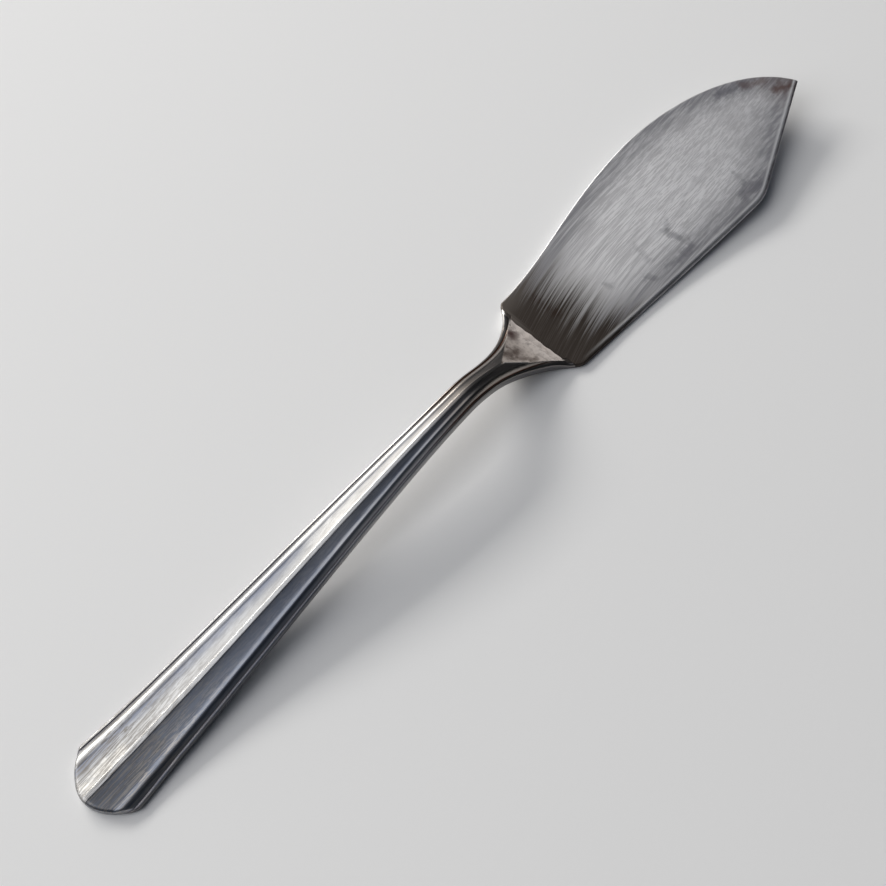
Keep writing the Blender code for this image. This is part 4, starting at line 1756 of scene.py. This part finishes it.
    def ring(self, skin: Skin, x: float) -> list[int]:
        """Add one closed section of the blade to the skin.

        Args:
            skin: The skin that takes the points.
            x: Place along the knife.

        Returns:
            The section's point numbers, across the face and back under it.
        """
        face_row, back_row = [], []
        for y, from_edge, from_spine in self.row_places(x):
            back, face = self.heights(x, from_edge)
            inside = min(from_edge, from_spine)
            edge_round = self.edge_round if x >= self.form.step_x else self.tongue_round
            rounding = min(edge_round, (face - back) / 2.0) * quarter_round(inside / edge_round)
            marks = {"from_edge": from_edge, "from_spine": from_spine}
            polish = self.polish(x, from_edge, from_spine)
            face_row.append(skin.point(Vector((x, y, face - rounding)), polish=polish, **marks))
            back_row.append(skin.point(Vector((x, y, back + rounding)), **marks))
        return face_row + back_row[::-1]

    def polish(self, x: float, from_edge: float, from_spine: float) -> float:
        """How bright the sheet is rubbed along its rounded edges, from 0 to 1: rubbed metal along
        the cutting edge, a painted highlight along the spine.

        Args:
            x: Place along the knife.
            from_edge: Distance in from the cutting edge.
            from_spine: Distance in from the spine.

        Returns:
            The brightness.
        """
        in_front = x - self.form.heel_x
        on_bevel = smooth(1.0 - abs(from_edge - self.edge_bevel) / self.polish_width)
        on_spine = smooth(1.0 - from_spine / self.polish_width)
        edge = self.edge_polish * on_bevel * smooth(in_front / self.bevel_fade)
        spine = self.spine_polish * on_spine * smooth(in_front / self.polish_start)
        return max(edge, spine)

    def build(self, origin: Vector) -> Object:
        """Loft the blade from its tongue to its tip.

        Args:
            origin: Where the knife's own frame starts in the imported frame.

        Returns:
            The blade's object.
        """
        form = self.form
        skin = Skin(origin, ("from_edge", "from_spine", "polish"))
        corner_x = form.heel_x + self.corner_length
        near_tip_x = form.tip_x - self.tip_length
        end_x = form.tip_x - self.tip_blunt
        places = spaced(form.tongue_x, form.step_x - self.step_gap, self.tongue_steps)
        places += spaced(form.step_x, form.heel_x, self.heel_steps)
        places += spaced(form.heel_x, corner_x, self.corner_steps)[1:]
        places += spaced(corner_x, near_tip_x, self.blade_steps)[1:]
        turns = spaced(0.0, math.pi / 2.0, self.tip_steps)[1:]
        places += [lerp(near_tip_x, end_x, math.sin(turn)) for turn in turns]
        rings = [self.ring(skin, x) for x in places]
        skin.join_rings(rings)
        skin.cap_ring(rings[0])
        skin.cap_ring(rings[-1])
        piece = skin.build("blade_sheet")
        finish_mesh(piece, self.sharp_angle)
        return piece

    def dress(self, piece: Object, finish: Material) -> None:
        """Give the blade its finish and its place in the frame.

        Args:
            piece: The piece's object.
            finish: Its material.
        """
        piece.data.materials.append(finish)
        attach(piece, "root")
        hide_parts("blade")


@dataclass
class BrazeSeam:
    """The braze: a film in the lap under the shoulder, and a bead along the crease."""

    form: KnifeForm
    clearance: float = 0.1 * MM
    bead_foot: float = 0.02 * MM
    side_gap: float = 0.04 * MM
    waver: float = 0.1 * MM
    waves: tuple[float, float] = (2.1, 5.3)
    bead_setback: float = 0.03 * MM
    bead_hollow: float = 0.04 * MM
    film_steps: int = 5
    foot_steps: int = 4
    crown_steps: int = 6
    across_steps: int = 60
    sharp_angle: float = math.radians(40.0)

    def side_points(self, share: float) -> list[Point]:
        """The braze from the side, at a share of its way across, as a closed run of points.

        Args:
            share: How far across, from 0 to 1.

        Returns:
            The points, each as X and height.
        """
        form = self.form
        slope = math.tan(form.ramp_angle)
        waving = sum(math.sin(wave * math.tau * share) for wave in self.waves) / len(self.waves)
        back = form.tongue_x + self.clearance
        bead_back = form.nose_x + self.bead_setback
        bead_front = form.crease_x + self.waver * waving
        film_x = spaced(back, bead_back, self.film_steps)
        film_top = form.joint_gap - self.clearance
        film_low = [(x, form.tongue_face(x) + self.clearance) for x in film_x]
        film_high = [(x, form.tongue_face(x) + film_top) for x in reversed(film_x)]
        foot_x = spaced(bead_back, bead_front, self.foot_steps)[1:]
        foot = [(x, form.tongue_face(x) + self.bead_foot) for x in foot_x]
        crown = []
        for x in spaced(bead_front, bead_back, self.crown_steps)[1:]:
            behind = bead_front - x
            hollow = self.bead_hollow * math.sin(math.pi * behind / (bead_front - bead_back))
            top = form.ramp_z(form.crease_x) + behind * slope - hollow
            crown.append((x, max(form.tongue_face(x) + 2.0 * self.bead_foot, top)))
        return film_low + foot + crown + film_high

    def build(self, origin: Vector) -> Object:
        """Draw the braze across the shoulder.

        Args:
            origin: Where the knife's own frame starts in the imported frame.

        Returns:
            The braze's object.
        """
        skin = Skin(origin, ())
        inset = self.form.pocket_inset + self.side_gap
        rings = []
        for share in spaced(0.0, 1.0, self.across_steps):
            ring = []
            for x, z in self.side_points(share):
                low = -self.form.inset_half(x, Side.EDGE, inset)
                high = self.form.inset_half(x, Side.SPINE, inset)
                ring.append(skin.point(Vector((x, lerp(low, high, share), z))))
            rings.append(ring)
        skin.join_rings(rings)
        skin.faces += [tuple(rings[0]), tuple(rings[-1])]
        piece = skin.build("braze_bead")
        finish_mesh(piece, self.sharp_angle)
        return piece

    def dress(self, piece: Object, finish: Material) -> None:
        """Give the braze its finish and its place in the frame.

        Args:
            piece: The piece's object.
            finish: Its material.
        """
        piece.data.materials.append(finish)
        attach(piece, "root")
        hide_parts("braze_seam")


def direction(turn: float, rise: float) -> Vector:
    """A direction that is turned from +Y towards +X and rises from the table."""
    level = math.cos(rise)
    return Vector((math.sin(turn) * level, math.cos(turn) * level, math.sin(rise)))


def set_up(name: str, data: bpy.types.ID, target: Vector, way: Vector, distance: float) -> Object:
    """Put a lamp or the camera where it faces a target.

    Args:
        name: The new object's name.
        data: The lamp's or the camera's own data.
        target: What it faces.
        way: Direction from the target to it.
        distance: How far it stands from the target.

    Returns:
        The object.
    """
    placed = bpy.data.objects.new(name, data)
    placed.location = target + way * distance
    placed.rotation_euler = (-way).to_track_quat("-Z", "Y").to_euler()
    bpy.context.scene.collection.objects.link(placed)
    return placed


@dataclass(frozen=True)
class SoftLight:
    """A soft box that faces the middle of the knife."""

    name: str
    turn: float
    rise: float
    distance: float
    width: float
    height: float
    power: float
    colour: tuple[float, float, float]

    def build(self) -> None:
        """Make the lamp."""
        data = bpy.data.lights.new(self.name, "AREA")
        data.shape = "RECTANGLE"
        data.size = self.width
        data.size_y = self.height
        data.energy = self.power
        data.color = self.colour
        set_up(self.name, data, Vector(), direction(self.turn, self.rise), self.distance)


@dataclass
class Studio:
    """A pale floor, a window light beyond the spine, a sky light, a dim room, and the camera."""

    floor_size: float = 12.0
    floor_colour: Colour = (0.86, 0.86, 0.865, 1.0)
    floor_roughness: float = 0.9
    floor_sheen: float = 0.1
    fibre_scale: float = 900.0
    fibre_strength: float = 0.08
    fibre_depth: float = 0.2 * MM
    window: SoftLight = SoftLight(
        name="window",
        turn=math.radians(2.0),
        rise=math.radians(26.0),
        distance=1.0,
        width=0.75,
        height=0.22,
        power=6.9,
        colour=(1.0, 0.98, 0.94),
    )
    sky: SoftLight = SoftLight(
        name="sky",
        turn=math.radians(-62.0),
        rise=math.radians(48.0),
        distance=1.0,
        width=0.9,
        height=0.8,
        power=2.4,
        colour=(1.0, 1.0, 1.0),
    )
    room_side: tuple[float, float, float] = (-0.10, 0.97, 0.21)
    room_levels: tuple[tuple[float, Colour], ...] = (
        (0.000, (0.140, 0.145, 0.155, 1.0)),
        (0.100, (0.100, 0.104, 0.114, 1.0)),
        (0.200, (0.026, 0.031, 0.042, 1.0)),
        (0.400, (0.019, 0.024, 0.034, 1.0)),
        (0.530, (0.029, 0.036, 0.052, 1.0)),
        (0.600, (0.046, 0.055, 0.078, 1.0)),
        (0.640, (0.076, 0.090, 0.126, 1.0)),
        (0.675, (0.185, 0.211, 0.270, 1.0)),
        (0.700, (0.430, 0.455, 0.510, 1.0)),
        (0.716, (0.79, 0.81, 0.85, 1.0)),
        (0.732, (0.95, 0.96, 0.98, 1.0)),
        (0.845, (1.00, 1.00, 0.99, 1.0)),
        (0.920, (1.06, 1.04, 0.99, 1.0)),
        (1.000, (1.06, 1.04, 0.98, 1.0)),
    )
    ahead_from: float = 0.28
    ahead_full: float = 0.7
    ahead_level: float = 0.3
    camera_turn: float = math.radians(228.38)
    camera_rise: float = math.radians(65.0)
    camera_distance: float = 256.2 * MM
    camera_target: tuple[float, float, float] = (-7.63 * MM, -1.47 * MM, 0.0)
    clip_start: float = 10.0 * MM
    focal_pixels: float = 1500.0
    frame_pixels: float = 886.0

    def build_camera(self) -> None:
        """Make the camera at the photograph's viewing angle."""
        data = bpy.data.cameras.new("camera")
        data.lens = data.sensor_width * self.focal_pixels / self.frame_pixels
        data.clip_start = self.clip_start
        way = direction(self.camera_turn, self.camera_rise)
        camera = set_up("camera", data, Vector(self.camera_target), way, self.camera_distance)
        bpy.context.scene.camera = camera

    def build_floor(self) -> None:
        """Make the pale floor that the knife lies on."""
        mesh = bpy.data.meshes.new("floor")
        working = bmesh.new()
        bmesh.ops.create_grid(working, x_segments=1, y_segments=1, size=self.floor_size / 2.0)
        working.to_mesh(mesh)
        working.free()
        material = bpy.data.materials.new("paper")
        material.use_nodes = True
        wiring = Wiring(material.node_tree)
        shader = material.node_tree.nodes["Principled BSDF"]
        shader.inputs["Base Color"].default_value = self.floor_colour
        shader.inputs["Roughness"].default_value = self.floor_roughness
        shader.inputs["Specular IOR Level"].default_value = self.floor_sheen
        fibres = wiring.noise(wiring.own_place(), self.fibre_scale, 4.0, 0.6)
        bump(wiring, shader, fibres, self.fibre_strength, self.fibre_depth)
        mesh.materials.append(material)
        floor = bpy.data.objects.new("floor", mesh)
        bpy.context.scene.collection.objects.link(floor)

    def build_room(self) -> None:
        """Make the room's light: bright beyond the spine, faint on the far side, dimmer ahead."""
        world = bpy.data.worlds.new("room")
        world.use_nodes = True
        wiring = Wiring(world.node_tree)
        facing_way = wiring.add("ShaderNodeTexCoord").outputs["Generated"]
        facing = wiring.place_math("DOT_PRODUCT", facing_way, self.room_side)
        ramp = wiring.add("ShaderNodeValToRGB")
        wiring.feed(ramp.inputs["Fac"], wiring.math("MULTIPLY_ADD", facing, 0.5, 0.5))
        stops = ramp.color_ramp.elements
        while len(stops) < len(self.room_levels):
            stops.new(1.0)
        for stop, (place, colour) in zip(stops, self.room_levels):
            stop.position = place
            stop.color = colour
        ahead = wiring.place_math("DOT_PRODUCT", facing_way, (1.0, 0.0, 0.0))
        strength = wiring.span(ahead, self.ahead_from, self.ahead_full, 1.0, self.ahead_level)
        background = world.node_tree.nodes["Background"]
        wiring.feed(background.inputs["Color"], ramp.outputs["Color"])
        wiring.feed(background.inputs["Strength"], strength)
        bpy.context.scene.world = world

    def build(self) -> None:
        """Make everything around the knife."""
        self.build_camera()
        self.build_floor()
        self.window.build()
        self.sky.build()
        self.build_room()


def knife_origin(blade: Blade) -> Vector:
    """Where the knife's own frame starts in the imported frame.

    Args:
        blade: The blade, whose highest place on the spine side is known.

    Returns:
        The handle's end on the centre line, at the table.
    """
    handle_low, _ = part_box("handle")
    _, blade_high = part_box("blade")
    return Vector((handle_low.x, blade_high.y - blade.spine_peak[1], 0.0))


def main() -> None:
    """Build the knife's pieces and the studio in order."""
    logging.basicConfig(level=logging.INFO, format="%(message)s")
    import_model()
    bpy.context.scene.view_settings.view_transform = "Standard"
    Studio().build()
    form = KnifeForm()
    blade = Blade(form)
    origin = knife_origin(blade)
    effects = Effects(origin, form)
    pieces = (
        (Handle(form), SilverPlate()),
        (blade, WornPlate()),
        (BrazeSeam(form), BrazeMetal()),
    )
    for part, finish in pieces:
        piece = part.build(origin)
        part.dress(piece, finish.material(effects))
        LOG.info("%s: %d faces", piece.name, len(piece.data.polygons))


if __name__ == "__main__":
    main()
